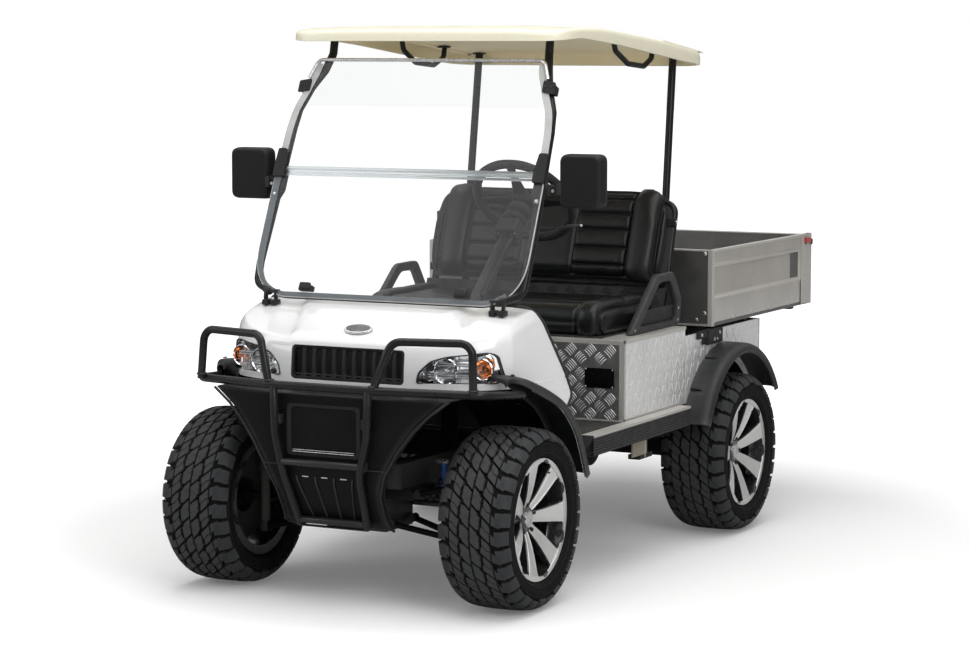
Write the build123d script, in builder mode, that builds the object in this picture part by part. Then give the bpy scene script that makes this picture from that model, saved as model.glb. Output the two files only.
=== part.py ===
"""Two-seat utility golf cart with a tipping aluminium cargo bed, lifted on chunky tyres.

Frame: +X is the cart's left (the driver's side), -Y is its front, +Z is up.
The origin is on the ground under the middle of the outline. Lengths are millimetres.
Heights are measured from the ground, and places along the cart from the front axle:
AXLE_F + distance.
"""
from build123d import *
import os
from math import atan2, cos, radians, sin, tan

os.makedirs("parts", exist_ok=True)

# ---------------------------------------------------------------- driving sizes
WHEELBASE = 1642.0
FRONT_REACH = 317.0          # front of the bull bar ahead of the front axle
REAR_REACH = 2552.0          # tailgate behind the front axle
AXLE_F = (FRONT_REACH - REAR_REACH) / 2.0
AXLE_R = AXLE_F + WHEELBASE

FIT = 0.3                    # gap between pieces that seat on each other
GATE_GAP = 5.0               # gap round the tailgate
PIN_FIT = 0.05               # radial clearance of a hinge pin

TYRE_R = 292.0               # 23 inch tyre, to the tips of its lugs
TYRE_W = 246.0
RIM_R = 197.0                # outer lip of the 14 inch wheel
BARREL_R = 167.0             # inside of the wheel's barrel
TRACK_F = 512.0              # wheel centre plane from the middle, front
TRACK_R = 562.0              # and rear
RIM_OUT = 106.0              # rim's outer face from the wheel's centre plane
HUB_IN = 22.0                # hub's mounting face outside that plane
KINGPIN_X = 400.0

RAIL_X = 195.0               # inner face of the frame rails
RAIL_W = 50.0
RAIL_LOW = 395.0
RAIL_H = 80.0
REAR_RAIL_TOP = 730.0
PANEL_Y = AXLE_F - 296.0     # front face of the lower front panel
RAIL_FRONT = 236.0           # front ends of the rails ahead of the axle

COWL_X = 520.0               # half width of the cowl
COWL_BASE = 702.0            # its lower edge
COWL_WALL = 5.0
FLOOR_TOP = 505.0
FLOOR_T = 14.0
FLOOR_Y0 = AXLE_F + 415.0
SEAT_Y0 = AXLE_F + 750.0     # front face of the seat base
BODY_X = 570.0               # half width of the seat base and the rear body
SEAT_BASE_Y1 = AXLE_F + 1296.0
SEAT_BASE_TOP = 786.0
PLATE_T = 4.0
SILL_X = 620.0

BED_X = 583.0
BED_Y0 = AXLE_F + 1508.0
BED_Y1 = AXLE_F + REAR_REACH
BED_LOW = 765.0
BED_TOP = 1045.0
BED_WALL = 20.0
BED_FLOOR = 15.0
GATE_T = 22.0
TIP_PIVOT = (BED_Y1 - 312.0, BED_LOW - 23.0)
TIP_PIN_R = 8.0
GATE_PIN_R = 3.5

ROOF_X = 520.0
ROOF_Y0 = AXLE_F + 350.0
ROOF_Y1 = AXLE_F + 1600.0
ROOF_WALL = 10.0

SCREEN_T = 5.0
SCREEN_FOOT = (AXLE_F + 78.0, COWL_BASE + 251.0)      # lower edge, in side view
SCREEN_HEAD = (AXLE_F + 392.0, 1735.0)    # upper edge
SCREEN_MID = 1362.0                       # height of the folding joint

WHEEL_RIM_R = 170.0          # steering wheel, centre line of its rim
WHEEL_TILT = 49.0            # degrees of its plane from level
WHEEL_AT = (265.0, AXLE_F + 600.0, 1262.0)


def arch_points(centre_y, rows):
    """Points in side view from rows of (distance from the axle, height)."""
    return [(centre_y + row[0], row[1]) for row in rows]


def box_between(low, high, mode=Mode.ADD):
    """A block between two opposite corners."""
    size = [abs(high[i] - low[i]) for i in range(3)]
    mid = [(high[i] + low[i]) / 2.0 for i in range(3)]
    with Locations(tuple(mid)):
        Box(*size, mode=mode)


def rod(start, end, radius, mode=Mode.ADD):
    """A round bar between two points."""
    axis = Vector(*end) - Vector(*start)
    with BuildSketch(Plane(origin=start, z_dir=axis)) as section:
        Circle(radius)
    extrude(section.sketch, amount=axis.length, mode=mode)


def tube(points, radius, bend):
    """A bent round tube through a few points, with the same radius at each bend."""
    with BuildLine() as path:
        FilletPolyline(*points, radius=bend)
    with BuildSketch(Plane(origin=path.line @ 0, z_dir=path.line % 0)) as section:
        Circle(radius)
    sweep(section.sketch, path=path.line)


def prism_x(points, x0, x1, mode=Mode.ADD):
    """A side-view outline, (along, height) points, drawn out from x0 to x1."""
    with BuildSketch(Plane.YZ.offset(x0)) as outline:
        with BuildLine():
            Polyline(*points, close=True)
        make_face()
    extrude(outline.sketch, amount=x1 - x0, mode=mode)


def finish(part, name):
    """Label a finished piece and write its file."""
    part.label = name
    export_step(part, f"parts/{name}.step")


# ---------------------------------------------------------------- frame
RAIL_SHORT = 322.0                     # rails end this far ahead of the tailgate
RAIL_SIDE = arch_points(AXLE_F, [
    (-RAIL_FRONT, RAIL_LOW), (1330, RAIL_LOW), (1560, REAR_RAIL_TOP - RAIL_H),
    (REAR_REACH - RAIL_SHORT, REAR_RAIL_TOP - RAIL_H), (REAR_REACH - RAIL_SHORT, REAR_RAIL_TOP),
    (1500, REAR_RAIL_TOP),
    (1290, RAIL_LOW + RAIL_H), (-RAIL_FRONT, RAIL_LOW + RAIL_H)])
CROSS_LOW = [-190, 460, 1220]          # cross members of the low section, from the axle
CROSS_HIGH = [1640, REAR_REACH - RAIL_SHORT - 40]  # and of the high section
CROSS_W = 50.0
DASH_BEAM_Y = AXLE_F + 100.0
DASH_BEAM_Z = COWL_BASE + 168.0
PAD_Y = AXLE_F + 1560.0

LOWER_FOOT = (110.0, 70.0, 250.0)     # x, half spread along the cart, height
UPPER_FOOT = (205.0, 70.0, 355.0)
ARM_TUBE = 10.0
BUSH_R = 14.0
EYE_R = 22.0
EYE_H = 30.0
SPRING_X = 330.0
SPRING_T = 24.0
SPRING_W = 50.0
SPRING_Y = (AXLE_R - 480, AXLE_R + 440)

with BuildPart() as frame:
    for side in (-1, 1):
        prism_x(RAIL_SIDE, side * RAIL_X, side * (RAIL_X + RAIL_W))
        rail_mid = side * (RAIL_X + RAIL_W / 2.0)
        # upright behind each front wheel, up to the dash beam
        box_between((rail_mid - 20, DASH_BEAM_Y + 20, RAIL_LOW + RAIL_H),
                    (rail_mid + 20, DASH_BEAM_Y + 60, DASH_BEAM_Z + 20))
        # rounded ear and stub pin of the bed's tipping hinge
        rod((side * RAIL_X, *TIP_PIVOT), (side * (RAIL_X + RAIL_W), *TIP_PIVOT), 17)
        rod((side * RAIL_X, *TIP_PIVOT), (side * (RAIL_X + RAIL_W + 22), *TIP_PIVOT), TIP_PIN_R)
        # rest pad under the front of the bed
        box_between((rail_mid - 20, PAD_Y - 30, REAR_RAIL_TOP),
                    (rail_mid + 20, PAD_Y + 30, BED_LOW - FIT))
    box_between((-440, DASH_BEAM_Y - 20, DASH_BEAM_Z - 20), (440, DASH_BEAM_Y + 20, DASH_BEAM_Z + 20))
    for along in CROSS_LOW:
        box_between((-RAIL_X, AXLE_F + along - CROSS_W / 2, RAIL_LOW),
                    (RAIL_X, AXLE_F + along + CROSS_W / 2, RAIL_LOW + RAIL_H))
    for along in CROSS_HIGH:
        box_between((-RAIL_X, AXLE_F + along - CROSS_W / 2, REAR_RAIL_TOP - RAIL_H),
                    (RAIL_X, AXLE_F + along + CROSS_W / 2, REAR_RAIL_TOP))
        # pads under the floor, and under each windscreen pillar's foot
        for along in (470, 1230):
            box_between((side * RAIL_X, AXLE_F + along - 15, RAIL_LOW + RAIL_H),
                        (side * (RAIL_X + RAIL_W), AXLE_F + along + 15, FLOOR_TOP - FLOOR_T - FIT))
        box_between((side * 406, DASH_BEAM_Y - 18, DASH_BEAM_Z), (side * 446, DASH_BEAM_Y + 18, SCREEN_FOOT[1] - 29))
        # hangers at both ends of the leaf springs
        box_between((side * (RAIL_X + RAIL_W), SPRING_Y[0] - 20, RAIL_LOW),
                    (side * (SPRING_X + SPRING_W / 2), SPRING_Y[0] - FIT, RAIL_LOW + 35))
        box_between((side * (RAIL_X + RAIL_W), SPRING_Y[1] + FIT, REAR_RAIL_TOP - RAIL_H),
                    (side * (SPRING_X + SPRING_W / 2), SPRING_Y[1] + 20, REAR_RAIL_TOP - RAIL_H + 40))
        box_between((side * (SPRING_X - SPRING_W / 2), SPRING_Y[1] + FIT, RAIL_LOW),
                    (side * (SPRING_X + SPRING_W / 2), SPRING_Y[1] + 12, REAR_RAIL_TOP - RAIL_H))
    # centre box that carries the lower arms, and the wider one of the upper arms over it
    box_between((-LOWER_FOOT[0], AXLE_F - 90, 225), (LOWER_FOOT[0], AXLE_F + 90, RAIL_LOW))
    box_between((-UPPER_FOOT[0], AXLE_F - 90, UPPER_FOOT[2] - 20), (UPPER_FOOT[0], AXLE_F + 90, RAIL_LOW))
    box_between((-RAIL_X, AXLE_F - 130, RAIL_LOW), (RAIL_X, AXLE_F + 130, RAIL_LOW + 40))
finish(frame.part, "frame")


# ---------------------------------------------------------------- wheels
LUG_BEVEL = 24.0                       # shoulder bevel of the tread
BEAD_IN = 22.0                         # how far the bead sits inside the rim lips
SPOKES = 7
HUB_R = 62.0
CAP_R = 26.0
SPOKE_FOOT = 34.0                      # spoke width at the hub
SPOKE_TIP = 62.0                       # and at the lip
SPOKE_T = 20.0
FLANGE_R = 58.0
SPINDLE_R = 16.0
WHEELS = [                             # name, side, axle place, track half
    ("front_left", 1, AXLE_F, TRACK_F), ("front_right", -1, AXLE_F, TRACK_F),
    ("rear_left", 1, AXLE_R, TRACK_R), ("rear_right", -1, AXLE_R, TRACK_R)]


def wheel_plane(side, axle_y, track):
    """A plane whose local x is the radius and whose local y points out of the cart."""
    return Plane(origin=(side * track, axle_y, TYRE_R), x_dir=(0, 0, 1), z_dir=(0, side, 0))


for name, side, axle_y, track in WHEELS:
    half = TYRE_W / 2.0
    seat = RIM_R - 12.0
    section = [(seat, -RIM_OUT + BEAD_IN), (RIM_R + 6, -RIM_OUT + 6), (RIM_R + 34, -half),
               (TYRE_R - LUG_BEVEL - 10, -half + 2), (TYRE_R, -half + LUG_BEVEL),
               (TYRE_R, half - LUG_BEVEL), (TYRE_R - LUG_BEVEL - 10, half - 2),
               (RIM_R + 34, half), (RIM_R + 6, RIM_OUT - 6), (seat, RIM_OUT - BEAD_IN)]
    with BuildPart() as tyre:
        with BuildSketch(wheel_plane(side, axle_y, track)):
            with BuildLine():
                Polyline(*section, close=True)
            make_face()
        revolve(axis=Axis((side * track, axle_y, TYRE_R), (side, 0, 0)))
    finish(tyre.part, f"tyre_{name}")

    barrel = [(BARREL_R, -RIM_OUT), (RIM_R, -RIM_OUT), (RIM_R, -RIM_OUT + 5),
              (seat - FIT, -RIM_OUT + BEAD_IN), (seat - FIT, RIM_OUT - BEAD_IN),
              (RIM_R, RIM_OUT - 5), (RIM_R, RIM_OUT), (RIM_R - 12, RIM_OUT),
              (BARREL_R + 4, RIM_OUT - 26), (BARREL_R, RIM_OUT - 40)]
    hub = [(0, HUB_IN), (HUB_R, HUB_IN), (HUB_R, HUB_IN + 22), (CAP_R + 8, HUB_IN + 30),
           (CAP_R, HUB_IN + 46), (0, HUB_IN + 46)]
    with BuildPart() as rim:
        with BuildSketch(wheel_plane(side, axle_y, track)):
            for outline in (barrel, hub):
                with BuildLine():
                    Polyline(*outline, close=True)
                make_face()
        revolve(axis=Axis((side * track, axle_y, TYRE_R), (side, 0, 0)))
        spoke_plane = Plane(origin=(side * (track + HUB_IN), axle_y, TYRE_R),
                            x_dir=(0, side, 0), z_dir=(side, 0, 0))
        with BuildSketch(spoke_plane):
            with PolarLocations(0, SPOKES, start_angle=90):
                Polygon((HUB_R - 12, -SPOKE_FOOT / 2), (BARREL_R + 2, -SPOKE_TIP / 2),
                        (BARREL_R + 2, SPOKE_TIP / 2), (HUB_R - 12, SPOKE_FOOT / 2), align=None)
        extrude(amount=SPOKE_T)
    finish(rim.part, f"rim_{name}")

# knuckles: kingpin post, spindle, hub flange and steering arm of each front wheel
POST_LOW = TYRE_R - 86.0
POST_TOP = TYRE_R + 86.0
POST_R = 17.0
ARM_REACH = 110.0                      # steering arm behind the kingpin
ARM_Z = (272.0, 284.0)
for name, side in (("left", 1), ("right", -1)):
    with BuildPart() as knuckle:
        rod((side * KINGPIN_X, AXLE_F, POST_LOW + FIT), (side * KINGPIN_X, AXLE_F, POST_TOP - FIT), POST_R)
        rod((side * KINGPIN_X, AXLE_F, TYRE_R), (side * (TRACK_F + HUB_IN - 12), AXLE_F, TYRE_R), SPINDLE_R)
        rod((side * (TRACK_F + HUB_IN - 12), AXLE_F, TYRE_R),
            (side * (TRACK_F + HUB_IN - FIT), AXLE_F, TYRE_R), FLANGE_R)
        box_between((side * (KINGPIN_X - 6) - 14, AXLE_F, ARM_Z[0]),
                    (side * (KINGPIN_X - 6) + 14, AXLE_F + ARM_REACH + 12, ARM_Z[1]))
    finish(knuckle.part, f"knuckle_{name}")

# fixed front arms, upper and lower on each side, with a coil shock on each
SHOCK_LOW = (300.0, 212.0)             # x and height of the lower arm's cross pin
SHOCK_TOP = (262.0, 455.0)
SHOCK_R = 26.0
with BuildPart() as front_suspension:
    for side in (-1, 1):
        for foot, eye_low in ((LOWER_FOOT, POST_LOW - EYE_H), (UPPER_FOOT, POST_TOP)):
            tip = (side * KINGPIN_X, AXLE_F, eye_low + EYE_H / 2)
            rod((side * KINGPIN_X, AXLE_F, eye_low), (side * KINGPIN_X, AXLE_F, eye_low + EYE_H), EYE_R)
            for way in (-1, 1):
                bush = (side * (foot[0] + FIT + BUSH_R), AXLE_F + way * foot[1], foot[2])
                rod((bush[0], bush[1] - BUSH_R, bush[2]), (bush[0], bush[1] + BUSH_R, bush[2]), BUSH_R)
                rod(bush, tip, ARM_TUBE)
        rod((side * SHOCK_LOW[0], AXLE_F - 25, SHOCK_LOW[1]), (side * SHOCK_LOW[0], AXLE_F + 25, SHOCK_LOW[1]), 8)
finish(front_suspension.part, "front_suspension")

# coil shocks: from the lower arm's cross pin up to the side of each rail
with BuildPart() as front_shocks:
    for side in (-1, 1):
        low = (side * SHOCK_LOW[0], AXLE_F, SHOCK_LOW[1] + 10)
        top = (side * (SHOCK_TOP[0] + FIT + 10), AXLE_F, SHOCK_TOP[1])
        rod(low, top, 9)
        with Locations(Plane(origin=low, z_dir=Vector(*top) - Vector(*low)).offset(40)):
            Cylinder(SHOCK_R, 120, align=(Align.CENTER, Align.CENTER, Align.MIN))
        rod((side * (RAIL_X + RAIL_W + FIT), AXLE_F, SHOCK_TOP[1]), (top[0] + side * 12, AXLE_F, SHOCK_TOP[1]), 9)
finish(front_shocks.part, "front_shocks")

# steering link: one bar behind the axle that slides with the rack
LINK_R = 9.0
LINK_Z = ARM_Z[1] + FIT + LINK_R
LINK_X = KINGPIN_X - 8.0
with BuildPart() as steering_link:
    rod((-LINK_X, AXLE_F + ARM_REACH, LINK_Z), (LINK_X, AXLE_F + ARM_REACH, LINK_Z), LINK_R)
finish(steering_link.part, "steering_link")

# rear axle with its drive block, and the leaf springs that carry it
AXLE_TUBE_R = 36.0
REAR_FLANGE_X = TRACK_R + HUB_IN - FIT
with BuildPart() as rear_axle:
    rod((-REAR_FLANGE_X + 14, AXLE_R, TYRE_R), (REAR_FLANGE_X - 14, AXLE_R, TYRE_R), AXLE_TUBE_R)
    for side in (-1, 1):
        rod((side * (REAR_FLANGE_X - 14), AXLE_R, TYRE_R), (side * REAR_FLANGE_X, AXLE_R, TYRE_R), FLANGE_R)
        rod((side * (REAR_FLANGE_X - 90), AXLE_R, TYRE_R), (side * (REAR_FLANGE_X - 40), AXLE_R, TYRE_R), 110)
    rod((40, AXLE_R, TYRE_R), (-120, AXLE_R, TYRE_R), 95)
    rod((60, AXLE_R - 120, TYRE_R + 20), (-170, AXLE_R - 120, TYRE_R + 20), 85)
finish(rear_axle.part, "rear_axle")

with BuildPart() as leaf_springs:
    for side in (-1, 1):
        with BuildSketch(Plane.YZ.offset(side * SPRING_X - SPRING_W / 2)):
            with BuildLine():
                low = TYRE_R + AXLE_TUBE_R + FIT
                l1 = ThreePointArc((SPRING_Y[0], low + 70), (AXLE_R, low), (SPRING_Y[1], low + 70))
                l2 = Line(l1 @ 1, (SPRING_Y[1], low + 70 + SPRING_T))
                l3 = ThreePointArc(l2 @ 1, (AXLE_R, low + SPRING_T), (SPRING_Y[0], low + 70 + SPRING_T))
                Line(l3 @ 1, l1 @ 0)
            make_face()
        extrude(amount=SPRING_W)
finish(leaf_springs.part, "leaf_springs")

# ---------------------------------------------------------------- floor, sills, seat base
TOE_TOP = (AXLE_F + 330, COWL_BASE + 18.0)
with BuildPart() as floor:
    box_between((-BODY_X, FLOOR_Y0, FLOOR_TOP - FLOOR_T), (BODY_X, SEAT_BASE_Y1, FLOOR_TOP))
    toe_board = [(FLOOR_Y0, FLOOR_TOP), (FLOOR_Y0 + 12, FLOOR_TOP), (TOE_TOP[0] + 12, TOE_TOP[1]),
                 (TOE_TOP[0], TOE_TOP[1])]
    prism_x(toe_board, -COWL_X + 12, COWL_X - 12)
finish(floor.part, "floor")

SILL_Y = (AXLE_F + 400, AXLE_F + 1228)
SILL_Z = (FLOOR_TOP - 67.0, FLOOR_TOP + 5.0)
with BuildPart() as sills:
    for side in (-1, 1):
        box_between((side * BODY_X, SILL_Y[0], SILL_Z[0]), (side * SILL_X, SILL_Y[1], SILL_Z[1]))
        for along in (AXLE_F + 520, AXLE_F + 1130):
            box_between((side * (RAIL_X + RAIL_W + FIT), along - 20, SILL_Z[0]),
                        (side * BODY_X, along + 20, SILL_Z[0] + 35))
finish(sills.part, "sills")

with BuildPart() as seat_base:
    box_between((-BODY_X, SEAT_Y0, FLOOR_TOP + FIT), (BODY_X, SEAT_BASE_Y1 - FIT, SEAT_BASE_TOP))
    box_between((-BODY_X + PLATE_T, SEAT_Y0 + PLATE_T, FLOOR_TOP - 1),
                (BODY_X - PLATE_T, SEAT_BASE_Y1 - PLATE_T, SEAT_BASE_TOP - PLATE_T), mode=Mode.SUBTRACT)
finish(seat_base.part, "seat_base")

BATTERY = (420.0, AXLE_F + 830, AXLE_F + 1270, 250.0)
with BuildPart() as battery_pack:
    box_between((-BATTERY[0], BATTERY[1], FLOOR_TOP + FIT), (BATTERY[0], BATTERY[2], FLOOR_TOP + BATTERY[3]))
finish(battery_pack.part, "battery_pack")

BODY_Y1 = BED_Y1 - 528.0
BODY_TOP = 752.0
ARCH_R = 345.0
with BuildPart() as rear_body:
    box_between((-BODY_X, SEAT_BASE_Y1, FLOOR_TOP), (BODY_X, BODY_Y1, BODY_TOP))
    box_between((-BODY_X + PLATE_T, SEAT_BASE_Y1 - 1, FLOOR_TOP - 1),
                (BODY_X - PLATE_T, BODY_Y1 - PLATE_T, BODY_TOP + 1), mode=Mode.SUBTRACT)
    with Locations(Location((0, AXLE_R, TYRE_R), (0, 90, 0))):
        Cylinder(ARCH_R, 3 * BODY_X, mode=Mode.SUBTRACT)
    box_between((-RAIL_X - RAIL_W - 25, BODY_Y1 - 2 * PLATE_T, REAR_RAIL_TOP - RAIL_H - 6),
                (RAIL_X + RAIL_W + 25, BODY_Y1 + 1, BODY_TOP + 1), mode=Mode.SUBTRACT)
finish(rear_body.part, "rear_body")

# ---------------------------------------------------------------- cargo bed and tailgate
GATE_Y0 = BED_Y1 - GATE_T
GATE_LOW = BED_LOW + GATE_GAP
GATE_X = BED_X - BED_WALL - GATE_GAP
GATE_PIVOT = (BED_Y1 - 6.0, GATE_LOW + 5.0)
LUG_X = (RAIL_X + RAIL_W + 4.0, RAIL_X + RAIL_W + 16.0)
with BuildPart() as cargo_bed:
    box_between((-BED_X, BED_Y0, BED_LOW), (BED_X, GATE_Y0 - GATE_GAP - 3, BED_LOW + BED_FLOOR))
    box_between((-BED_X, BED_Y0, BED_LOW), (BED_X, BED_Y0 + BED_WALL, BED_TOP))
    for side in (-1, 1):
        box_between((side * (BED_X - BED_WALL), BED_Y0, BED_LOW), (side * BED_X, BED_Y1, BED_TOP))
        # pins of the tailgate, and lugs of the tipping hinge
        rod((side * (BED_X - BED_WALL), *GATE_PIVOT), (side * (GATE_X - 9), *GATE_PIVOT), GATE_PIN_R)
        box_between((side * LUG_X[0], TIP_PIVOT[0] - 22, TIP_PIVOT[1] - 14),
                    (side * LUG_X[1], TIP_PIVOT[0] + 22, BED_LOW))
        rod((side * LUG_X[0], *TIP_PIVOT), (side * LUG_X[1], *TIP_PIVOT), 16)
        rod((side * (LUG_X[0] - 1), *TIP_PIVOT), (side * (LUG_X[1] + 1), *TIP_PIVOT),
            TIP_PIN_R + PIN_FIT, mode=Mode.SUBTRACT)
finish(cargo_bed.part, "cargo_bed")

with BuildPart() as tailgate:
    box_between((-GATE_X, GATE_Y0, GATE_LOW), (GATE_X, BED_Y1, BED_TOP - 4))
    for side in (-1, 1):
        rod((side * (GATE_X + 1), *GATE_PIVOT), (side * (GATE_X - 10), *GATE_PIVOT),
            GATE_PIN_R + PIN_FIT, mode=Mode.SUBTRACT)
finish(tailgate.part, "tailgate")

# ---------------------------------------------------------------- cowl, front panel, lamps
COWL_NOSE = COWL_BASE + 104.0          # upper edge of the upright nose
COWL_RIDGE = COWL_BASE + 249.0         # the cowl's highest line


def cowl_front(inset):
    """The cowl's outline seen from the front."""
    half = COWL_X - inset
    right = [(half, COWL_BASE - 10), (half, COWL_BASE + 153), (half - 60, COWL_BASE + 220 - inset),
             (half - 130, COWL_BASE + 288)]
    return right + [(-x, z) for x, z in reversed(right)]


def cowl_block(inset, rear=0.0):
    """The cowl's outer form, drawn in on every face by an inset, and drawn out to the rear."""
    front_y = AXLE_F - 152 + inset
    side = [(front_y, COWL_BASE), (front_y, COWL_NOSE - inset), (front_y + 16, COWL_NOSE + 32 - inset),
            (AXLE_F + 60, COWL_RIDGE - 26 - inset), (AXLE_F + 168 + rear, COWL_RIDGE - inset),
            (AXLE_F + 188 + rear, COWL_RIDGE - 6 - inset),
            (AXLE_F + 272 + rear, COWL_BASE + 160), (AXLE_F + 395 + rear, COWL_BASE)]
    half = COWL_X - inset
    plan = [(-half, AXLE_F + 500), (-half, AXLE_F + 40), (-440 + inset / 2, AXLE_F - 85 + inset),
            (-215, AXLE_F - 152 + inset), (215, AXLE_F - 152 + inset), (440 - inset / 2, AXLE_F - 85 + inset),
            (half, AXLE_F + 40), (half, AXLE_F + 500)]
    with BuildPart() as block:
        prism_x(side, -COWL_X, COWL_X)
        with BuildSketch(Plane.XY.offset(COWL_BASE - 1)) as outline:
            with BuildLine():
                Polyline(*plan, close=True)
            make_face()
        extrude(outline.sketch, amount=400, mode=Mode.INTERSECT)
        with BuildSketch(Plane.XZ.offset(-AXLE_F - 600)) as outline:
            with BuildLine():
                Polyline(*cowl_front(inset), close=True)
            make_face()
        extrude(outline.sketch, amount=900, mode=Mode.INTERSECT)
    return block.part


GRILLE = (208.0, COWL_BASE + 12, COWL_NOSE + 18)         # half width, lower and upper edge
LAMP_OUTLINE = [(x, COWL_BASE + rise) for x, rise in (
    (252, 18), (262, 54), (300, 90), (345, 104), (462, 118), (482, 110), (498, 36), (486, 22))]
# the cowl's sides reach down behind the wheel arches
COWL_SKIRT = [(AXLE_F + y, COWL_BASE + rise) for y, rise in (
    (60, 0), (122, -38), (230, -112), (290, -167), (352, -157), (444, -46), (395, 0), (300, 20), (100, 20))]


def lamp_prism(side, inset):
    """The headlight's outline drawn through the cowl's corner."""
    mid_x = sum(p[0] for p in LAMP_OUTLINE) / len(LAMP_OUTLINE)
    mid_z = sum(p[1] for p in LAMP_OUTLINE) / len(LAMP_OUTLINE)
    shape = [(side * (mid_x + (p[0] - mid_x) * (1 - inset / 60.0)),
              mid_z + (p[1] - mid_z) * (1 - inset / 45.0)) for p in LAMP_OUTLINE]
    with BuildPart() as prism:
        with BuildSketch(Plane.XZ.offset(-AXLE_F - 40)):
            with BuildLine():
                Polyline(*shape, close=True)
            make_face()
        extrude(amount=160)
    return prism.part


with BuildPart() as front_cowl:
    add(cowl_block(0.0))
    add(cowl_block(COWL_WALL, rear=30.0), mode=Mode.SUBTRACT)
    box_between((-GRILLE[0], AXLE_F - 200, GRILLE[1]), (GRILLE[0], AXLE_F - 100, GRILLE[2]), mode=Mode.SUBTRACT)
    for side in (-1, 1):
        add(lamp_prism(side, 0.0), mode=Mode.SUBTRACT)
        prism_x(COWL_SKIRT, side * (COWL_X - COWL_WALL), side * COWL_X)
finish(front_cowl.part, "front_cowl")

with BuildPart() as headlights:
    for side in (-1, 1):
        add(cowl_block(0.0).intersect(lamp_prism(side, 0.4)))
    add(cowl_block(70.0, rear=30.0), mode=Mode.SUBTRACT)
finish(headlights.part, "headlights")

with BuildPart() as grille:
    with BuildSketch(Plane.XZ.offset(-AXLE_F + 151)):
        with Locations((0, (GRILLE[1] + GRILLE[2]) / 2)):
            RectangleRounded(2 * (GRILLE[0] - FIT), GRILLE[2] - GRILLE[1] - 2 * FIT, 10)
            with GridLocations(37, 0, 11, 1):
                SlotOverall(GRILLE[2] - GRILLE[1] - 22, 24, rotation=90, mode=Mode.SUBTRACT)
    extrude(amount=-22)
    box_between((-GRILLE[0] + FIT, AXLE_F - 129, GRILLE[1] + FIT), (GRILLE[0] - FIT, AXLE_F - 124, GRILLE[2] - FIT))
finish(grille.part, "grille")

PANEL_TOP = COWL_BASE - 14.0
PANEL_SIDE = arch_points(AXLE_F, [(-296, PANEL_TOP), (-296, 440), (-215, 262), (-140, 236), (-140, 262),
                                  (-190, 290), (-250, 420), (-250, PANEL_TOP - 12), (-130, PANEL_TOP - 12),
                                  (-130, PANEL_TOP)])
PANEL_WING = [(150, 230), (192, 268), (184, 350), (200, 405), (232, 470), (275, 540), (339, 617),
              (409, PANEL_TOP - 17), (432, PANEL_TOP + 1)]
PANEL_FRONT = PANEL_WING + [(-x, z) for x, z in reversed(PANEL_WING)]
RECESS = (112.0, 500.0, 640.0, 30.0)   # half width, lower and upper edge, depth
with BuildPart() as front_panel:
    prism_x(PANEL_SIDE, -COWL_X, COWL_X)
    with BuildSketch(Plane.XZ.offset(-AXLE_F)):
        with BuildLine():
            Polyline(*PANEL_FRONT, close=True)
        make_face()
    extrude(amount=400, mode=Mode.INTERSECT)
    box_between((-RECESS[0], AXLE_F - 300, RECESS[1]), (RECESS[0], AXLE_F - 296 + RECESS[3], RECESS[2]),
                mode=Mode.SUBTRACT)
    # feet back to the rails
    for side in (-1, 1):
        box_between((side * RAIL_X, AXLE_F - 252, RAIL_LOW + 28),
                    (side * (RAIL_X + 20), AXLE_F - RAIL_FRONT - FIT, RAIL_LOW + RAIL_H))
finish(front_panel.part, "front_panel")

BAR_R = 13.0
BAR_Z = COWL_BASE + 12.0
HOOP_Z = BAR_Z + 154.0
BEAM = [(562, -20, BAR_Z - 24), (520, -205, BAR_Z - 9), (190, -318, BAR_Z)]
HOOP = [(189, -318, BAR_Z), (240, -285, HOOP_Z), (490, -222, HOOP_Z), (498, -232, BAR_Z - 6)]
LEG = [(172, -318, BAR_Z), (166, -318, 560), (140, -318, 441), (124, -236, 261)]
BAR_FEET = ((590.0, 620.0), (455.0, 485.0))
with BuildPart() as bull_bar:
    beam = [(x, AXLE_F + y, z) for x, y, z in BEAM]
    tube(beam + [(-x, y, z) for x, y, z in reversed(beam)], BAR_R, 70)
    for side in (-1, 1):
        tube([(side * x, AXLE_F + y, z) for x, y, z in HOOP], BAR_R, 40)
        tube([(side * x, AXLE_F + y, z) for x, y, z in LEG], BAR_R, 60)
        for low, high in BAR_FEET:
            box_between((side * 146, AXLE_F - 318, low), (side * 160, PANEL_Y - FIT, high))
    rod((-143, AXLE_F - 318, 470), (143, AXLE_F - 318, 470), BAR_R - 2)
    rod((-125, AXLE_F - 242, 274), (125, AXLE_F - 242, 274), BAR_R - 2)
finish(bull_bar.part, "bull_bar")

# ---------------------------------------------------------------- wheel-arch flares
FLARE_X = (COWL_X, 632.0)
FRONT_FLARE = arch_points(AXLE_F, [
    (-100, 770), (-22, 758), (46, 724), (170, 664), (251, 600), (329, 508), (369, 392),
    (344, 392), (303, 500), (230, 580), (122, 655), (40, 694), (-30, 724), (-96, 742)])
FLARE_PLAN = [(COWL_X, 400), (632, 400), (632, 200), (620, 120), (600, 46), (580, -22), (552, -95),
              (541, -100), (530, -95), (COWL_X - 9, 24), (COWL_X, 38)]
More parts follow.
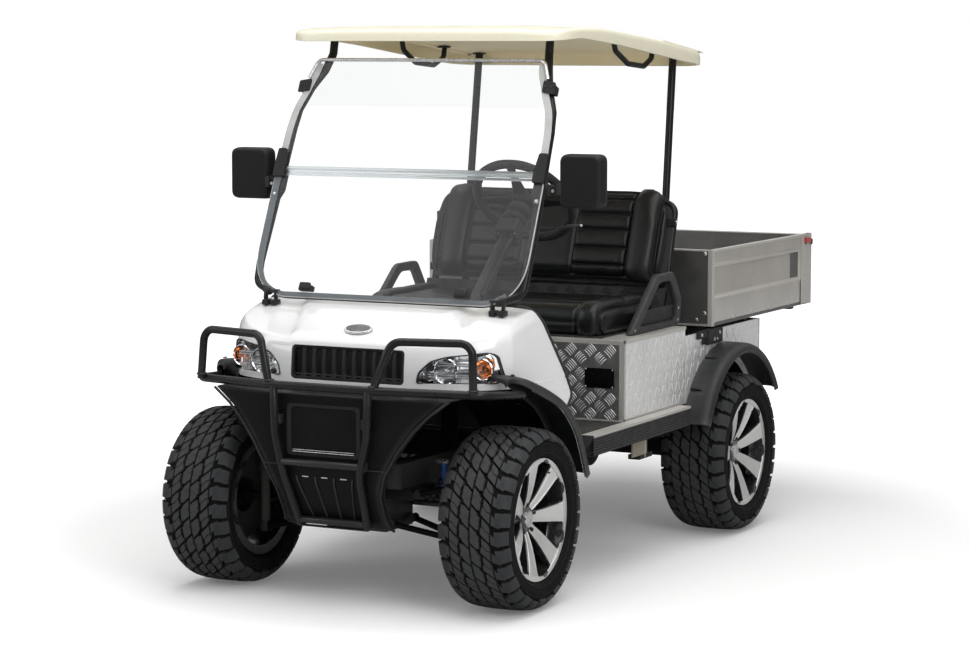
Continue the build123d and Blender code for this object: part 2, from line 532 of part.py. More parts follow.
# sheet that closes the wheel well over each front tyre
LINER_X = (262.0, COWL_X + 2)
LINER = arch_points(AXLE_F, [
    (362, 392), (336, 451), (308, 502), (234, 582), (122, 655), (60, 684), (-128, 684),
    (-128, 679), (58, 679), (119, 650), (231, 577), (303, 498), (330, 449), (356, 392)])
REAR_FLARE_R = (376.0, 406.0)
REAR_FLARE_X = (BODY_X, 672.0)
REAR_FLARE_LOW = SILL_Z[0] + 4
REAR_FLARE_TIP = TYRE_R + 212.0        # lower end behind the wheel
with BuildPart() as front_flares:
    for side in (-1, 1):
        prism_x(FRONT_FLARE, side * (FLARE_X[0] - 20), side * FLARE_X[1])
    with BuildSketch() as plan:
        for side in (-1, 1):
            with BuildLine():
                Polyline(*[(side * x, AXLE_F + y) for x, y in FLARE_PLAN], close=True)
            make_face()
    extrude(plan.sketch, amount=COWL_RIDGE, mode=Mode.INTERSECT)
    for side in (-1, 1):
        prism_x(LINER, side * LINER_X[0], side * LINER_X[1])
finish(front_flares.part, "front_flares")
with BuildPart() as rear_flares:
    for side in (-1, 1):
        with BuildSketch(Plane.YZ.offset(side * REAR_FLARE_X[0])) as band:
            with Locations((AXLE_R, TYRE_R)):
                Circle(REAR_FLARE_R[1])
                Circle(REAR_FLARE_R[0], mode=Mode.SUBTRACT)
            with Locations((AXLE_R, REAR_FLARE_LOW - 500)):
                Rectangle(1200, 1000, mode=Mode.SUBTRACT)
            with Locations((AXLE_R + 600, REAR_FLARE_TIP - 500)):
                Rectangle(1200, 1000, mode=Mode.SUBTRACT)
        extrude(band.sketch, amount=side * (REAR_FLARE_X[1] - REAR_FLARE_X[0]))
finish(rear_flares.part, "rear_flares")

# ---------------------------------------------------------------- dash, column, steering wheel, pedals
COLUMN_DIR = Vector(0, -sin(radians(WHEEL_TILT)), -cos(radians(WHEEL_TILT)))
HUB_DEPTH = 40.0
COLUMN_TOP = Vector(*WHEEL_AT) + COLUMN_DIR * (HUB_DEPTH + FIT)
COLUMN_LEN = 490.0
COLUMN_R = 27.0
with BuildPart() as dashboard:
    prism_x([(AXLE_F + 198, COWL_RIDGE - 11), (AXLE_F + 300, COWL_RIDGE - 26), (AXLE_F + 345, COWL_RIDGE - 101),
             (TOE_TOP[0] + 14, TOE_TOP[1] + FIT), (TOE_TOP[0] - 50, TOE_TOP[1] + FIT),
             (AXLE_F + 262, COWL_RIDGE - 91)], -COWL_X, COWL_X)
    with BuildSketch(Plane.XZ.offset(-AXLE_F - 600)):
        with BuildLine():
            Polyline(*cowl_front(COWL_WALL + 1), close=True)
        make_face()
    extrude(amount=900, mode=Mode.INTERSECT)
    rod(tuple(COLUMN_TOP), tuple(COLUMN_TOP + COLUMN_DIR * (COLUMN_LEN + FIT)), COLUMN_R + FIT, mode=Mode.SUBTRACT)
finish(dashboard.part, "dashboard")

with BuildPart() as steering_column:
    rod(tuple(COLUMN_TOP), tuple(COLUMN_TOP + COLUMN_DIR * COLUMN_LEN), COLUMN_R)
    rod(tuple(COLUMN_TOP + COLUMN_DIR * 20), tuple(COLUMN_TOP + COLUMN_DIR * 130), 44)
    lever_root = COLUMN_TOP + COLUMN_DIR * 60
    rod(tuple(lever_root), tuple(lever_root + Vector(210, 30, -20)), 6)
finish(steering_column.part, "steering_column")
with BuildPart() as steering_wheel:
    wheel_frame = Plane(origin=WHEEL_AT, x_dir=(1, 0, 0), z_dir=tuple(COLUMN_DIR * -1))
    with Locations(wheel_frame):
        Torus(WHEEL_RIM_R, 14)
    rod(WHEEL_AT, tuple(Vector(*WHEEL_AT) + COLUMN_DIR * HUB_DEPTH), 38)
    with BuildSketch(wheel_frame):
        for angle in (0, 180, 270):
            with PolarLocations(0, 1, start_angle=angle):
                Polygon((0, -16), (WHEEL_RIM_R, -12), (WHEEL_RIM_R, 12), (0, 16), align=None)
    extrude(amount=-10)
finish(steering_wheel.part, "steering_wheel")

with BuildPart() as pedals:
    for x, half_w in ((340, 28), (215, 45)):
        prism_x([(AXLE_F + 430, FLOOR_TOP + FIT), (AXLE_F + 444, FLOOR_TOP + FIT), (AXLE_F + 434, 600), (AXLE_F + 470, 640),
                 (AXLE_F + 462, 650), (AXLE_F + 418, 604)], x - half_w, x + half_w)
finish(pedals.part, "pedals")

# ---------------------------------------------------------------- pillars, windscreen, mirrors, roof
PILLAR_R = 14.0
ROOF_ROWS = [(350, 1836), (480, 1853), (700, 1850), (1220, 1808), (1600, 1765)]   # along, height
ROOF_UNDER = [(1600, 1711), (480, 1812), (350, 1800)]


def roof_top(along):
    """Height of the roof's upper face at a distance behind the front axle."""
    for (y0, z0), (y1, z1) in zip(ROOF_ROWS, ROOF_ROWS[1:]):
        if along <= y1:
            return z0 + (z1 - z0) * (along - y0) / (y1 - y0)
    return ROOF_ROWS[-1][1]


SCREEN_SLOPE = atan2(SCREEN_HEAD[1] - SCREEN_FOOT[1], SCREEN_HEAD[0] - SCREEN_FOOT[0])
SCREEN_PLANE = Plane(origin=(0, SCREEN_FOOT[0], SCREEN_FOOT[1]), x_dir=(1, 0, 0),
                     z_dir=(0, -sin(SCREEN_SLOPE), cos(SCREEN_SLOPE)))


def up_screen(height):
    """Distance up the slanted screen of a height above the ground."""
    return (height - SCREEN_FOOT[1]) / sin(SCREEN_SLOPE)


def screen_back(height):
    """Place along the cart of the screen's rear face at a height."""
    return SCREEN_FOOT[0] + (height - SCREEN_FOOT[1]) / tan(SCREEN_SLOPE) + FIT


FRONT_PILLAR = [(426, 104, SCREEN_FOOT[1] - 3), (485, 388, 1567), (452, 412, 1650), (425, 455, 1790)]
REAR_PILLAR = [(404, 1452, 645), (404, 1470, 1040), (398, 1555, 1700)]
PILLAR_BLOCKS = [                      # height, half height, inner and outer x of the screen's mounts
    (1650, 22, 430, 474), (1335, 14, 440, 468), (SCREEN_FOOT[1] + 53, 14, 412, 446)]
with BuildPart() as front_pillars:
    for side in (-1, 1):
        top = (side * 418, AXLE_F + 470, roof_top(470) - ROOF_WALL - 7)
        tube([(side * x, AXLE_F + y, z) for x, y, z in FRONT_PILLAR] + [top], PILLAR_R, 30)
        box_between((side * 411, AXLE_F + 84, SCREEN_FOOT[1] - 12), (side * 441, AXLE_F + 124, SCREEN_FOOT[1] + 5))
        for height, half, x0, x1 in PILLAR_BLOCKS:
            low = height - half
            high = height + half
            deep = 46 if height < 1600 else 52
            prism_x([(screen_back(low), low), (screen_back(low) + deep, low), (screen_back(high) + deep, high),
                     (screen_back(high), high)], side * x0, side * x1)
finish(front_pillars.part, "front_pillars")
with BuildPart() as rear_pillars:
    for side in (-1, 1):
        tube([(side * x, AXLE_F + y, z) for x, y, z in REAR_PILLAR]
             + [(side * 398, AXLE_F + 1562, roof_top(1562) - ROOF_WALL - 2.4)], PILLAR_R, 20)
        box_between((side * (RAIL_X + RAIL_W + FIT), AXLE_F + 1438, 610), (side * 420, AXLE_F + 1466, 650))
finish(rear_pillars.part, "rear_pillars")

with BuildPart() as roof:
    prism_x(arch_points(AXLE_F, ROOF_ROWS + ROOF_UNDER), -ROOF_X, ROOF_X)
    fillet(roof.edges().filter_by(Axis.Z), 90)
    ceiling = [(y, z - ROOF_WALL) for y, z in ROOF_ROWS[1:-1]]
    first = (350 + ROOF_WALL, roof_top(350 + ROOF_WALL) - ROOF_WALL)
    last = (1600 - ROOF_WALL, roof_top(1600 - ROOF_WALL) - ROOF_WALL)
    hollow = [first] + ceiling + [last, (last[0], 1700), (first[0], 1700)]
    with BuildPart(mode=Mode.SUBTRACT) as cavity:
        prism_x(arch_points(AXLE_F, hollow), -ROOF_X + ROOF_WALL, ROOF_X - ROOF_WALL)
        fillet(cavity.edges().filter_by(Axis.Z), 80)
finish(roof.part, "roof")

HANDLE = [(418, 985, roof_top(985) - ROOF_WALL - 4.4), (418, 1000, 1768), (422, 1100, 1722),
          (422, 1240, 1712), (420, 1312, 1740), (420, 1322, roof_top(1322) - ROOF_WALL - 3.2)]
with BuildPart() as roof_handles:
    for side in (-1, 1):
        tube([(side * x, AXLE_F + y, z) for x, y, z in HANDLE], 10, 12)
finish(roof_handles.part, "roof_handles")

LOWER_SCREEN = [(-418, 0), (418, 0), (495, 40), (511, up_screen(1078)), (460, up_screen(SCREEN_MID) - 3),
                (-460, up_screen(SCREEN_MID) - 3), (-511, up_screen(1078)), (-495, 40)]
UPPER_SCREEN = [(-458, up_screen(SCREEN_MID) + 3), (458, up_screen(SCREEN_MID) + 3), (448, up_screen(1690)),
                (420, up_screen(1735)), (-420, up_screen(1735)), (-448, up_screen(1690))]
CHANNEL = (916.0, 22.0, 6.0)           # length, height and depth of the folding joint's channel
with BuildPart() as windscreen:
    for outline in (LOWER_SCREEN, UPPER_SCREEN):
        with BuildSketch(SCREEN_PLANE):
            with BuildLine():
                Polyline(*outline, close=True)
            make_face()
        extrude(amount=SCREEN_T)
    with BuildSketch(SCREEN_PLANE.offset(SCREEN_T)):
        with Locations((0, up_screen(SCREEN_MID))):
            Rectangle(CHANNEL[0], CHANNEL[1])
    extrude(amount=CHANNEL[2])
finish(windscreen.part, "windscreen")

MIRROR = ((548.0, 698.0), (268.0, 326.0), (1262.0, 1438.0))
with BuildPart() as mirrors:
    for side in (-1, 1):
        box_between((side * MIRROR[0][0], AXLE_F + MIRROR[1][0], MIRROR[2][0]),
                    (side * MIRROR[0][1], AXLE_F + MIRROR[1][1], MIRROR[2][1]))
        box_between((side * 477.8, AXLE_F + 262, 1300), (side * 549, AXLE_F + 290, 1335))
finish(mirrors.part, "mirrors")

# ---------------------------------------------------------------- seat
SEAT_X = 490.0
CUSHION_Y = (AXLE_F + 762, AXLE_F + 1255)
CUSHION_TOP = 905.0
with BuildPart() as seat_cushion:
    prism_x([(CUSHION_Y[0], SEAT_BASE_TOP + FIT), (CUSHION_Y[1], SEAT_BASE_TOP + FIT), (CUSHION_Y[1], CUSHION_TOP - 22),
             (CUSHION_Y[0] + 40, CUSHION_TOP), (CUSHION_Y[0], CUSHION_TOP - 30)], -SEAT_X, SEAT_X)
finish(seat_cushion.part, "seat_cushion")
BACK = arch_points(AXLE_F, [(1232, 930), (1330, 920), (1432, 1275), (1385, 1290), (1330, 1230)])
with BuildPart() as seat_back:
    prism_x(BACK, -SEAT_X, SEAT_X)
finish(seat_back.part, "seat_back")

BACK_TUBE_X = 470.0
with BuildPart() as seat_back_frame:
    hoop = [(BACK_TUBE_X, 1280, SEAT_BASE_TOP + 6), (BACK_TUBE_X, 1342.5, 915), (BACK_TUBE_X, 1428.5, 1215)]
    left = [(x, AXLE_F + y, z) for x, y, z in hoop]
    tube(left + [(-x, y, z) for x, y, z in reversed(left)], 13, 40)
    for side in (-1, 1):
        box_between((side * 452, AXLE_F + 1262, SEAT_BASE_TOP + FIT), (side * 488, AXLE_F + 1292, SEAT_BASE_TOP + 14))
finish(seat_back_frame.part, "seat_back_frame")

RESTRAINT_X = (508.0, 532.0)
RESTRAINT_LOW = SEAT_BASE_TOP + FIT
RESTRAINT = arch_points(AXLE_F, [(888, RESTRAINT_LOW), (1122, 978), (1140, 987), (1262, 987), (1280, 978), (1352, 882),
                                 (1330, RESTRAINT_LOW)])
RESTRAINT_HOLE = arch_points(AXLE_F, [(972, 812), (1152, 950), (1246, 950), (1304, 872), (1290, 812)])
with BuildPart() as hip_restraints:
    for side in (-1, 1):
        prism_x(RESTRAINT, side * RESTRAINT_X[0], side * RESTRAINT_X[1])
        prism_x(RESTRAINT_HOLE, side * RESTRAINT_X[0], side * RESTRAINT_X[1], mode=Mode.SUBTRACT)
finish(hip_restraints.part, "hip_restraints")
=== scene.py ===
"""Golf cart with a tipping aluminium bed: the dressed scene.

Lengths in the helpers are millimetres (x, distance behind the front axle, height);
P() turns them into the frame's metres.
"""
import bpy
import bmesh
from math import atan2, cos, exp, hypot, pi, radians, sin, sqrt, tan
from mathutils import Matrix, Vector


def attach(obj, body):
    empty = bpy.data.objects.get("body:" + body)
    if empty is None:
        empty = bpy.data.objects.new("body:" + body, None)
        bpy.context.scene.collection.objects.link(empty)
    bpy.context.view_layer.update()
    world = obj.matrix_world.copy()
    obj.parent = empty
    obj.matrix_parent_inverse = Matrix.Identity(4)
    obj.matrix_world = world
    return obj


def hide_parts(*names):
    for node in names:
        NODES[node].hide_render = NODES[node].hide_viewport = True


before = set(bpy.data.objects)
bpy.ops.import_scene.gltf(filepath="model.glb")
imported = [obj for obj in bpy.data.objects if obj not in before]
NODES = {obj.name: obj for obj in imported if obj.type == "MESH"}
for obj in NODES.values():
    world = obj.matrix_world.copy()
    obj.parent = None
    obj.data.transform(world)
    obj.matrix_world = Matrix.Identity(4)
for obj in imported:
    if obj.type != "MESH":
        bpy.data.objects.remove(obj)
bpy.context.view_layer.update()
AXLE_F = -1117.5
AXLE_R = 1642.0                      # behind the front axle
PLASTIC_IOR = 1.45


def P(x, y, z):
    """Millimetres behind the front axle to the frame's metres."""
    return Vector((x / 1000.0, (y + AXLE_F) / 1000.0, z / 1000.0))


# ---------------------------------------------------------------- materials
def node(tree, kind, inputs=None, **props):
    n = tree.nodes.new(kind)
    for key, value in props.items():
        setattr(n, key, value)
    for key, value in (inputs or {}).items():
        if isinstance(value, bpy.types.NodeSocket):
            tree.links.new(value, n.inputs[key])
        else:
            n.inputs[key].default_value = value
    return n


def ramp(tree, fac, low, high, a=0.0, b=1.0):
    """Map a 0..1 value from (low, high) to (a, b), clamped."""
    n = node(tree, "ShaderNodeMapRange", {"Value": fac, "From Min": low, "From Max": high, "To Min": a,
                                          "To Max": b})
    return n.outputs[0]


def mix(tree, fac, a, b, blend="MIX"):
    n = node(tree, "ShaderNodeMix", data_type="RGBA", blend_type=blend)
    for key, value in ((0, fac), (6, a), (7, b)):
        if isinstance(value, bpy.types.NodeSocket):
            tree.links.new(value, n.inputs[key])
        else:
            n.inputs[key].default_value = value if key == 0 else (*value[:3], 1.0)
    return n.outputs[2]


def bump(tree, height, strength, distance, normal=None):
    ins = {"Height": height, "Strength": strength, "Distance": distance}
    if normal is not None:
        ins["Normal"] = normal
    return node(tree, "ShaderNodeBump", ins).outputs[0]


def surface(name, colour, other=None, scale=5.0, amount=(0.35, 0.7), rough=0.5, rough_to=None, metal=0.0,
            coat=0.0, coat_rough=0.08, grain=None, swell=None, edge=None, dust_and_sheen=None, spec=0.5, lines=None,
            transmission=0.0):
    """A procedural finish: two-tone colour, roughness and bump from noise, wear on the edges.

    grain: (kind, scale, strength, distance) fine bump; swell: the same, coarse.
    edge: (colour, amount) worn edges from the surface's curvature.
    dust_and_sheen: (colour, amount) lightens what faces up: settled dust, and on the flare plastic and the
    vinyl a bluish painted sheen of the overhead light.
    lines: (axis, scale, strength) fine brushed lines across an axis.
    """
    mat = bpy.data.materials.new(name)
    mat.use_nodes = True
    tree = mat.node_tree
    bsdf = tree.nodes["Principled BSDF"]
    where = node(tree, "ShaderNodeTexCoord").outputs["Object"]
    cloud = node(tree, "ShaderNodeTexNoise", {"Vector": where, "Scale": scale, "Detail": 7.0,
                                              "Roughness": 0.62})
    fac = ramp(tree, cloud.outputs["Fac"], *amount)
    tone = mix(tree, fac, colour, other or [c * 0.86 for c in colour])
    # what faces up is lightened: dust on most finishes, a bluish painted sheen of the overhead light on the
    # flare plastic and the vinyl
    if dust_and_sheen:
        up = node(tree, "ShaderNodeNewGeometry").outputs["Normal"]
        z = node(tree, "ShaderNodeSeparateXYZ", {"Vector": up}).outputs[2]
        fine = node(tree, "ShaderNodeTexNoise", {"Vector": where, "Scale": 38.0,
                                                 "Detail": 5.0}).outputs["Fac"]
        lift = node(tree, "ShaderNodeMath", {0: ramp(tree, z, 0.2, 1.0), 1: ramp(tree, fine, 0.3, 0.75)},
                    operation="MULTIPLY").outputs[0]
        lift = node(tree, "ShaderNodeMath", {0: lift, 1: dust_and_sheen[1]}, operation="MULTIPLY").outputs[0]
        tone = mix(tree, lift, tone, dust_and_sheen[0])
    if edge:
        point = node(tree, "ShaderNodeNewGeometry").outputs["Pointiness"]
        worn = node(tree, "ShaderNodeMath", {0: ramp(tree, point, 0.51, 0.6), 1: edge[1]},
                    operation="MULTIPLY").outputs[0]
        tone = mix(tree, worn, tone, edge[0])
    tree.links.new(tone, bsdf.inputs["Base Color"])
    if rough_to is None:
        rough_to = min(1.0, rough * 1.25 + 0.02)
    smear = node(tree, "ShaderNodeTexNoise", {"Vector": where, "Scale": scale * 3.1,
                                              "Detail": 5.0}).outputs["Fac"]
    tree.links.new(ramp(tree, smear, 0.3, 0.7, rough, rough_to), bsdf.inputs["Roughness"])
    normal = None
    for layer in (swell, grain):
        if not layer:
            continue
        kind, size, strength, distance = layer
        if kind == "voronoi":
            height = node(tree, "ShaderNodeTexVoronoi", {"Vector": where, "Scale": size},
                          feature="DISTANCE_TO_EDGE").outputs["Distance"]
            height = ramp(tree, height, 0.0, 0.35)
        else:
            height = node(tree, "ShaderNodeTexNoise", {"Vector": where, "Scale": size,
                                                       "Detail": 3.0}).outputs["Fac"]
        normal = bump(tree, height, strength, distance, normal)
    if lines:
        axis, size, strength = lines
        flat = [size * 0.02] * 3
        flat["XYZ".index(axis)] = size
        along = node(tree, "ShaderNodeMapping", {"Vector": where, "Scale": flat}).outputs[0]
        height = node(tree, "ShaderNodeTexNoise", {"Vector": along, "Scale": 1.0,
                                                   "Detail": 2.0}).outputs["Fac"]
        normal = bump(tree, height, strength, 0.0004, normal)
    if normal is not None:
        tree.links.new(normal, bsdf.inputs["Normal"])
    bsdf.inputs["Metallic"].default_value = metal
    bsdf.inputs["Coat Weight"].default_value = coat
    bsdf.inputs["Coat Roughness"].default_value = coat_rough
    bsdf.inputs["Specular IOR Level"].default_value = spec
    bsdf.inputs["Transmission Weight"].default_value = transmission
    bsdf.inputs["IOR"].default_value = PLASTIC_IOR
    mat.diffuse_color = (*colour[:3], 1.0)
    return mat


def clear(name, colour, rough):
    """Clear sheet or lens: transmits, and lets light through where it would cast a shadow."""
    mat = surface(name, colour, [c * 0.97 for c in colour], scale=3.0, rough=rough, rough_to=rough * 1.4,
                  transmission=1.0)
    tree = mat.node_tree
    out = tree.nodes["Material Output"]
    shadow = node(tree, "ShaderNodeLightPath").outputs["Is Shadow Ray"]
    glow = node(tree, "ShaderNodeBsdfTransparent", {"Color": (*[c * 0.96 for c in colour], 1.0)}).outputs[0]
    both = node(tree, "ShaderNodeMixShader", {0: shadow, 1: tree.nodes["Principled BSDF"].outputs[0],
                                              2: glow})
    tree.links.new(both.outputs[0], out.inputs["Surface"])
    return mat


WHITE = surface("body_white", (0.83, 0.83, 0.825), (0.80, 0.80, 0.80), scale=2.2, rough=0.16, rough_to=0.24,
                coat=1.0, coat_rough=0.05, swell=("noise", 7.0, 0.12, 0.002),
                grain=("noise", 380.0, 0.04, 0.0002))
BLACK_PLASTIC = surface("moulded_black", (0.0045, 0.0046, 0.0048), (0.007, 0.0072, 0.0075), scale=9.0,
                        rough=0.36, rough_to=0.5, grain=("voronoi", 900.0, 0.2, 0.0003),
                        edge=((0.09, 0.09, 0.09), 0.5), dust_and_sheen=((0.03, 0.029, 0.028), 0.10), spec=0.12)
# what faces up turns bluish grey in patches: a painted sheen of the overhead light, laid on like dust
FLARE_PLASTIC = surface("flare_black", (0.009, 0.0098, 0.0106), (0.013, 0.014, 0.015), scale=7.0, rough=0.34,
                        rough_to=0.44, grain=("voronoi", 700.0, 0.4, 0.0004), edge=((0.11, 0.11, 0.11), 0.5),
                        dust_and_sheen=((0.045, 0.048, 0.051), 0.16), spec=0.30)
POWDER = surface("black_powder_coat", (0.004, 0.004, 0.0042), (0.006, 0.006, 0.006), scale=14.0, rough=0.25,
                 rough_to=0.36, grain=("noise", 650.0, 0.25, 0.0003), edge=((0.08, 0.08, 0.08), 0.35),
                 coat=0.15, coat_rough=0.2, spec=0.2)
RUBBER = surface("tyre_rubber", (0.020, 0.0215, 0.024), (0.030, 0.032, 0.035), scale=11.0, rough=0.45,
                 rough_to=0.7, grain=("noise", 420.0, 0.35, 0.0005), edge=((0.055, 0.055, 0.054), 0.55),
                 dust_and_sheen=((0.03, 0.029, 0.027), 0.10), spec=0.2)
# the tyre's rubber made darker for its carcass, side walls and the floors of its grooves: painted shade
RUBBER_PAINTED_SHADE = surface("tyre_rubber_painted_shade", (0.005, 0.005, 0.0052), (0.008, 0.008, 0.0082), scale=11.0, rough=0.6,
                 rough_to=0.8, grain=("noise", 420.0, 0.35, 0.0005), edge=((0.03, 0.03, 0.03), 0.4), spec=0.1)
BLACK_METAL = surface("gloss_black_alloy", (0.010, 0.010, 0.011), (0.018, 0.018, 0.018), scale=12.0,
                      rough=0.2, rough_to=0.3, coat=0.8, coat_rough=0.08,
                      grain=("noise", 300.0, 0.08, 0.0002))
STEEL_BLACK = surface("chassis_black", (0.0035, 0.0035, 0.0036), (0.006, 0.006, 0.006), scale=8.0, rough=0.34,
                      rough_to=0.5, grain=("noise", 260.0, 0.15, 0.0004), edge=((0.09, 0.088, 0.085), 0.35),
                      dust_and_sheen=((0.014, 0.0135, 0.013), 0.12), spec=0.1)
CAST = surface("cast_iron", (0.010, 0.010, 0.0105), (0.018, 0.0175, 0.017), scale=10.0, rough=0.6,
               rough_to=0.8, metal=0.3, grain=("noise", 190.0, 0.6, 0.001), edge=((0.16, 0.15, 0.14), 0.4),
               dust_and_sheen=((0.05, 0.047, 0.045), 0.2), spec=0.15)
SPRING_STEEL = surface("spring_steel", (0.05, 0.05, 0.052), (0.08, 0.078, 0.074), scale=9.0, rough=0.4,
                       metal=0.6, grain=("noise", 240.0, 0.3, 0.0004), edge=((0.2, 0.19, 0.18), 0.4))
MACHINED = surface("machined_alloy", (0.80, 0.795, 0.78), (0.70, 0.695, 0.68), scale=7.0, rough=0.3,
                   rough_to=0.42, metal=0.7, lines=("Z", 900.0, 0.25), coat=0.4, coat_rough=0.06)
BRIGHT = surface("bright_metal", (0.74, 0.74, 0.75), (0.6, 0.6, 0.61), scale=30.0, rough=0.22, rough_to=0.38,
                 metal=1.0, grain=("noise", 500.0, 0.1, 0.0002))
CHROME = surface("reflector_chrome", (0.86, 0.87, 0.88), (0.78, 0.79, 0.8), scale=18.0, rough=0.05,
                 rough_to=0.1, metal=1.0, grain=("noise", 120.0, 0.05, 0.0003))
ALLOY_SHEET = surface("sheet_aluminium", (0.56, 0.53, 0.485), (0.48, 0.455, 0.415), scale=4.0, rough=0.36,
                      rough_to=0.5, metal=0.6, lines=("Z", 700.0, 0.35), swell=("noise", 9.0, 0.15, 0.002),
                      edge=((0.8, 0.8, 0.79), 0.35))
CHECKER = surface("checker_aluminium", (0.74, 0.74, 0.725), (0.62, 0.62, 0.61), scale=9.0, rough=0.26,
                  rough_to=0.38, metal=0.5, grain=("noise", 300.0, 0.15, 0.0003),
                  edge=((0.85, 0.85, 0.85), 0.6))
# a darker copy of the sheet aluminium for the bed's floor, inner faces, slot and front board: painted shade
ALLOY_PAINTED_SHADE = surface("sheet_aluminium_painted_shade", (0.115, 0.11, 0.105), (0.075, 0.072, 0.069), scale=5.0,
                      rough=0.34, rough_to=0.48, metal=0.8, lines=("Z", 700.0, 0.35),
                      edge=((0.4, 0.4, 0.39), 0.35))
# a darker copy of the checker aluminium for the plate's front and rear faces: painted shade
CHECKER_PAINTED_SHADE = surface("checker_aluminium_ground_painted_shade", (0.17, 0.17, 0.168), (0.12, 0.12, 0.118), scale=9.0,
                       rough=0.3, rough_to=0.42, metal=0.85, grain=("noise", 300.0, 0.15, 0.0003),
                       edge=((0.5, 0.5, 0.5), 0.5))
CHECKER_DARK = surface("checker_in_shadow", (0.014, 0.014, 0.014), (0.009, 0.009, 0.009), scale=9.0,
                       rough=0.45, rough_to=0.6, spec=0.12, grain=("noise", 300.0, 0.15, 0.0003),
                       edge=((0.06, 0.06, 0.06), 0.5))
# a lighter copy of the checker aluminium, with brighter edges, for its raised bars: painted highlight
CHECKER_BAR_PAINTED_HIGHLIGHT = surface("checker_aluminium_bars_painted_highlight", (0.84, 0.84, 0.83), (0.74, 0.74, 0.73), scale=9.0, rough=0.3,
                      rough_to=0.4, metal=0.7, grain=("noise", 300.0, 0.1, 0.0002),
                      edge=((0.92, 0.92, 0.92), 0.6))
# near-black with almost no reflection: painted shade where it lines the wheel wells, and the real black of
# the charging socket's frame
BLACK_AND_PAINTED_WELL_SHADE = surface("matte_black_and_painted_well_shade", (0.003, 0.003, 0.003), (0.005, 0.005, 0.005), scale=6.0, rough=0.85,
                     rough_to=0.95, grain=("noise", 150.0, 0.3, 0.0005), spec=0.03)
CREAM = surface("cream_roof", (0.80, 0.76, 0.60), (0.76, 0.72, 0.56), scale=3.0, rough=0.34, rough_to=0.46,
                coat=0.3, coat_rough=0.2, grain=("noise", 260.0, 0.15, 0.0004),
                swell=("noise", 6.0, 0.1, 0.002))
# what faces up turns faintly bluish grey in patches: a painted sheen of the overhead light, laid on like dust
LEATHER = surface("black_vinyl", (0.006, 0.0065, 0.0072), (0.009, 0.0096, 0.0105), scale=6.0, rough=0.27,
                  rough_to=0.34, grain=("voronoi", 420.0, 0.22, 0.0005), swell=("noise", 22.0, 0.2, 0.003),
                  dust_and_sheen=((0.014, 0.014, 0.016), 0.08), spec=0.34)
# a brighter, warmer copy of the roof's cream for its underside: painted light on the shaded underside
ROOF_UNDER_PAINTED_LIGHT = surface("roof_underside_painted_light", (0.90, 0.79, 0.53), (0.84, 0.73, 0.48), scale=3.0, rough=0.5,
                     rough_to=0.65, grain=("noise", 260.0, 0.2, 0.0005), spec=0.2)
BEIGE = surface("beige_paint", (0.27, 0.235, 0.17), (0.2, 0.17, 0.12), scale=9.0, rough=0.45, rough_to=0.6,
                grain=("noise", 240.0, 0.3, 0.0005), edge=((0.4, 0.38, 0.33), 0.3), spec=0.25)
GRIP = surface("wheel_grip", (0.012, 0.012, 0.0125), (0.02, 0.02, 0.02), scale=16.0, rough=0.42,
               rough_to=0.55, grain=("voronoi", 650.0, 0.4, 0.0004), spec=0.28)
MAT = surface("ribbed_mat", (0.022, 0.022, 0.0225), (0.04, 0.038, 0.036), scale=9.0, rough=0.6, rough_to=0.8,
              grain=("noise", 200.0, 0.5, 0.0006), dust_and_sheen=((0.07, 0.066, 0.062), 0.25), spec=0.28)
SCREEN = clear("clear_screen", (0.97, 0.985, 0.98), rough=0.0)
LENS = clear("lamp_lens", (0.96, 0.97, 0.98), rough=0.03)
AMBER = clear("amber_lens", (0.95, 0.24, 0.06), rough=0.06)
FROSTED = clear("frosted_edge", (0.80, 0.84, 0.86), rough=0.3)
MIRROR_GLASS = surface("mirror_glass", (0.8, 0.82, 0.83), (0.75, 0.77, 0.78), scale=5.0, rough=0.02,
                       rough_to=0.04, metal=1.0)
# opaque pale grey for the pane's polished edge and the upper pane's side bands: painted highlight
PANE_EDGE_PAINTED_HIGHLIGHT = surface("pane_edge_painted_highlight", (0.50, 0.50, 0.49), (0.44, 0.44, 0.43), scale=20.0, rough=0.35,
                    rough_to=0.45, grain=("noise", 300.0, 0.1, 0.0002), spec=0.3)
# opaque bluish grey for a band over the lower pane's border: painted reflection
PANE_BORDER_PAINTED_REFLECTION = surface("pane_border_painted_reflection", (0.15, 0.165, 0.175), (0.12, 0.132, 0.14), scale=20.0, rough=0.35,
                    rough_to=0.45, grain=("noise", 300.0, 0.1, 0.0002), spec=0.3)
RED = surface("red_latch", (0.45, 0.02, 0.015), (0.36, 0.016, 0.012), scale=20.0, rough=0.3, rough_to=0.4,
              coat=0.4, grain=("noise", 300.0, 0.2, 0.0003))
BLUE = surface("blue_shock", (0.03, 0.10, 0.36), (0.02, 0.07, 0.28), scale=20.0, rough=0.3, rough_to=0.45,
               coat=0.3, grain=("noise", 200.0, 0.2, 0.0003))

